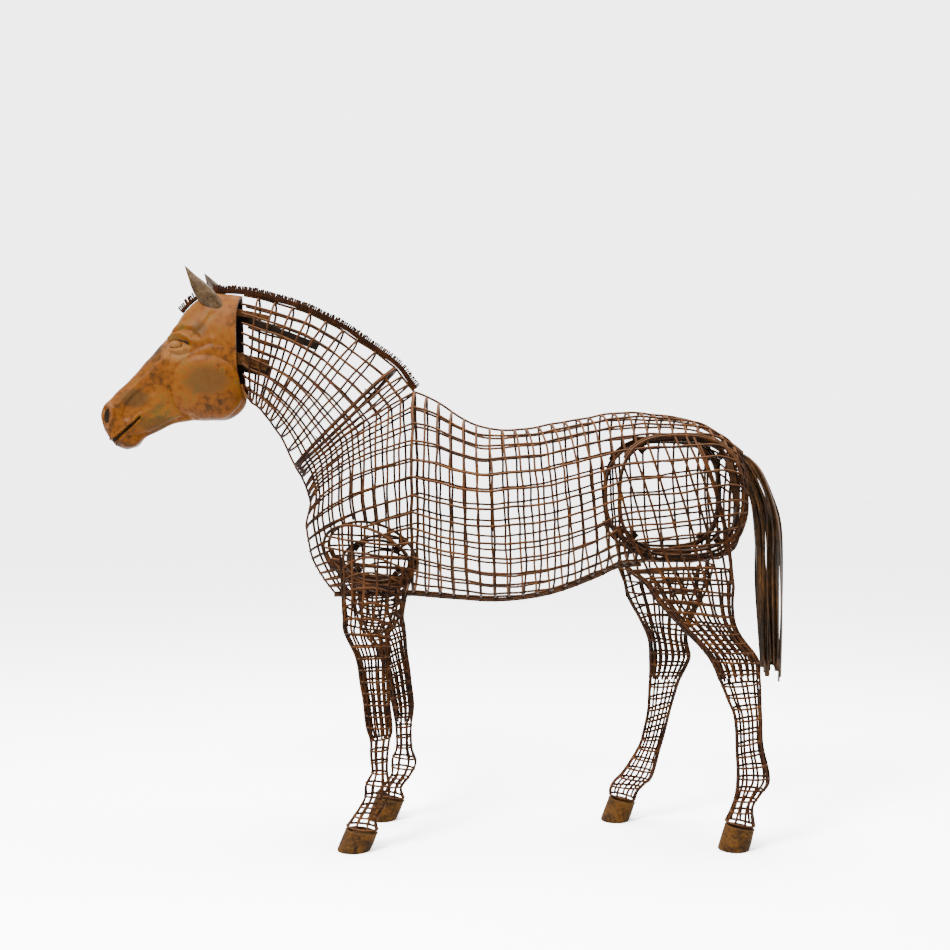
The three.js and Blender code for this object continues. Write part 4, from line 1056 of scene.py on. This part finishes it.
def strap_pieces():
    """The flat bars from inside the head back into the neck cage."""
    spec = {
        "neck_strap_left_upper": ([(-466, -20, 1181), (-426, -20, 1174), (-386, -18, 1165)], 0.022),
        "neck_strap_left_lower": ([(-466, -31, 1077), (-430, -32, 1069), (-392, -31, 1060)], 0.038),
        "neck_strap_right_long": ([(-470, 22, 1175), (-377, 24, 1142), (-284, 24, 1106)], 0.026),
        "neck_strap_right_lower": ([(-466, 31, 1064), (-430, 32, 1056), (-392, 31, 1048)], 0.036),
    }
    for name, (pts, width) in spec.items():
        b = Batch()
        line = spline(np.array([place(*q) for q in pts]), 14)
        b.flat(line, [0, 0, 1], width, FLAT)
        if name.endswith("lower"):
            for k in (-8, -2):
                b.bolt(line[k], [0, 1, 0], 0.006, 0.012)
        # Painted shade: the right side's straps, on the far side of the neck, get the near-black shade iron;
        # the left ones keep the strap rust.
        piece(name + "_look", b, PAINTED_SHADE if "right" in name else STRAP, "dark_rust", name)


def dock():
    """A thin sheet that carries on the croup's line and bends down over the root of the tail."""
    b = Batch()
    start, end = place(637, 0, 902), place(684, 0, 868)
    run = (end - start) / np.linalg.norm(end - start)
    up = np.array([-run[2], 0, run[0]])
    share = np.linspace(-1, 1, 25)
    rings = []
    for t in np.linspace(0, 1, 16):
        drop = mix(2, 9, t) * share ** 2 * UNIT + 0.0008 * np.sin(9 * t + 4 * share)
        top = mix(start, end, t) + np.outer(share, [0, 26 * UNIT * (1 - 0.06 * t), 0]) - drop[:, None] * up
        rings.append(np.vstack([top, (top - up * 0.0042)[::-1]]))
    b.sweep(np.array(rings))
    return b


def tail():
    """Straps that hang from the dock and cross one another."""
    b = Batch()
    count, points = 19, 46
    for k in range(count):
        line = []
        for i in range(len(TAIL_OUTER)):
            share = (k + 0.5) / count + 0.06 * math.sin(i * 1.1 + k * 2.1)
            x, z = mix(TAIL_OUTER[i], TAIL_INNER[i], np.clip(share, 0.02, 0.98))
            y = math.sin(k * 2.4) * 20 + 5 * math.sin(i * 0.9 + k)
            line.append(place(x, y * min(i / 2.5, 1), z))
        line = spline(np.array(line), points)[:int(points * (1 - 0.075 * abs(math.sin(k * 1.7))))]
        turn = 0.9 * math.sin(k * 1.3)
        b.flat(line, [math.sin(turn), math.cos(turn), 0.0], 0.0165, 0.0045)
    return b


def hoof(sole, rim, y):
    """A cup of sheet iron, open at the top."""
    b = Batch()
    a = np.arange(48) * 2 * np.pi / 48
    rings = []
    # Share of the height, inset and lift: up the outside, over the rim and down the inside.
    for share, inset, lift in (
            (0, 0.003, 0), (0, 0.0006, 0.0012), (0.02, 0, 0.002), (0.3, -0.0008, 0), (0.6, -0.0008, 0),
            (0.9, 0, 0), (0.97, -0.0015, 0), (1, -0.0015, -0.001), (1, 0.0005, 0), (1, 0.006, 0),
            (0.9, 0.0065, 0), (0.8, 0.007, 0)):
        front, back = mix(sole[0], rim[0], share), mix(sole[1], rim[1], share)
        half = mix(38, 32, share) * UNIT - inset
        reach = (back - front) / 2 * UNIT - inset
        x = (front + back) / 2 * UNIT + SHIFT - reach * np.cos(a)
        z = share * mix(rim[2], rim[3], (1 - np.cos(a)) / 2) * UNIT + lift
        rings.append(np.stack([x, y * UNIT + half * np.sin(a), z], -1))
    b.sweep(np.array(rings))
    return b


def build():
    piece("trunk_bars", trunk_bars(), BAR, "rod_rust", "chest_cage", "barrel_cage", "croup_cage")
    piece("croup_plate", croup_plate(), PLATE, "dark_rust")
    piece("neck_bars", neck_bars(), BAR, "rod_rust", "neck_cage")
    for name, rows, sides, side in (("left", LEFT_FORE, FORE_SIDE, -1), ("right", RIGHT_FORE, FORE_SIDE, 1)):
        b = leg_bars(rows, sides, side, withers_arm, count=14, split=6, lower_count=8, first_ring=25)
        shoulder_rows(b, side)
        piece(name + "_foreleg_bars", b, BAR, "rod_rust", name + "_foreleg_cage")
    for name, rows, sides, side in (("left", LEFT_HIND, HIND_SIDE, -1), ("right", RIGHT_HIND, HIND_SIDE, 1)):
        b = leg_bars(rows, sides, side, haunch, count=20, split=6, lower_count=9, first_ring=8)
        piece(name + "_hindleg_bars", b, BAR, "rod_rust", name + "_hindleg_cage")
    for name, side in (("left", -1), ("right", 1)):
        ring = flat_ring(SHOULDER, chest, (9.2, 0.6), side, lugs=(0.12, 0.37, 0.62, 0.87), size=0.008)
        piece("shoulder_ring_" + name + "_look", ring, PLATE, "dark_rust", "shoulder_ring_" + name)
        ring = flat_ring(HIP, trunk, ON_HIP, side, lugs=(0.13, 0.35, 0.62, 0.86), size=0.009)
        piece("hip_ring_" + name + "_look", ring, PLATE, "dark_rust", "hip_ring_" + name)
    piece("flange_upper_look", flange(-1), PLATE, "rod_rust", "neck_flange_upper")
    piece("flange_lower_look", flange(1), PLATE, "rod_rust", "neck_flange_lower")
    piece("keel_look", keel(), PLATE, "rod_rust", "keel_bar")
    mane = comb(mane_line(), pitch=0.0068, width=0.020, strip=0.017, teeth=0.011)
    piece("mane_look", mane, MANE, "dark_rust", "mane_comb")
    lock = np.array([place(x, 0, z) for x, z in ((-585, 1178), (-572, 1193), (-556, 1207), (-538, 1218))])
    forelock = comb(lock, pitch=0.0066, width=0.020, strip=0.012, teeth=0.014, lean=0.25)
    piece("forelock_look", forelock, MANE, "dark_rust", "forelock_comb")
    piece("ear_left_look", ear(-1), EAR, "ear_iron", "ear_left")
    piece("ear_right_look", ear(1), EAR, "ear_iron", "ear_right")
    piece("head_look", head(), SHEET, "sheet_rust", "head_shell", angle=1.2)
    # Painted shade: a dark sheet inside the head.
    piece("head_inner_shade", head_inner_shade(), PAINTED_SHADE, "dark_rust")
    # Painted shade: dark strips and cups in the head's recesses.
    piece("head_painted_shade", head_painted_shade(), PAINTED_SHADE, "dark_rust")
    piece("eyes_look", eyes(), SHEET, "sheet_rust")
    strap_pieces()
    piece("dock_look", dock(), PLATE, "rod_rust", "tail_dock")
    piece("tail_look", tail(), TAIL, "dark_rust", "tail_straps")
    for name, (sole, rim, y) in HOOVES.items():
        piece(name + "_look", hoof(sole, rim, y), HOOF, "hoof_rust", name)


# Name, place, size and watts of each lamp. The lens is level, as high as the hooves in the photo say.
WORLD_STRENGTH = 4.5
LAMPS = (("key", (-2.2, -3.4, 5.2), 1.6, 1900), ("top", (0.6, 0.4, 5.2), 2.4, 1000))
LAMP_TARGET = Vector((0.0, 0.0, 1.0))
CAMERA_LENS = 50.1
CAMERA_PLACE = (0.113 + SHIFT, -4.5, 1.22)


def surroundings():
    """A pale floor, a white world, two lamps and the camera where the photo was taken from."""
    material = bpy.data.materials.new("floor_pale")
    material.use_nodes = True
    shader = material.node_tree.nodes["Principled BSDF"]
    shader.inputs["Base Color"].default_value = (0.97, 0.97, 0.97, 1)
    shader.inputs["Roughness"].default_value = 0.9
    mesh = bpy.data.meshes.new("floor")
    mesh.from_pydata([(-60, -60, 0), (60, -60, 0), (60, 60, 0), (-60, 60, 0)], [], [(0, 1, 2, 3)])
    mesh.materials.append(material)
    floor = bpy.data.objects.new("floor", mesh)
    floor.location.z = -0.0005
    bpy.context.scene.collection.objects.link(floor)
    world = bpy.data.worlds.new("studio")
    bpy.context.scene.world = world
    world.use_nodes = True
    background = world.node_tree.nodes["Background"]
    background.inputs["Color"].default_value = (1, 1, 1, 1)
    background.inputs["Strength"].default_value = WORLD_STRENGTH
    for name, where, size, power in LAMPS:
        light = bpy.data.lights.new(name, "AREA")
        light.size = size
        light.energy = power
        lamp = bpy.data.objects.new(name, light)
        lamp.location = where
        lamp.rotation_euler = (LAMP_TARGET - Vector(where)).to_track_quat("-Z", "Y").to_euler()
        bpy.context.scene.collection.objects.link(lamp)
    camera = bpy.data.cameras.new("camera")
    camera.lens = CAMERA_LENS
    camera.sensor_width = 36
    camera.clip_end = 200
    ob = bpy.data.objects.new("camera", camera)
    ob.location = CAMERA_PLACE
    ob.rotation_euler = (math.pi / 2, 0, 0)
    bpy.context.scene.collection.objects.link(ob)
    bpy.context.scene.camera = ob


build()
surroundings()
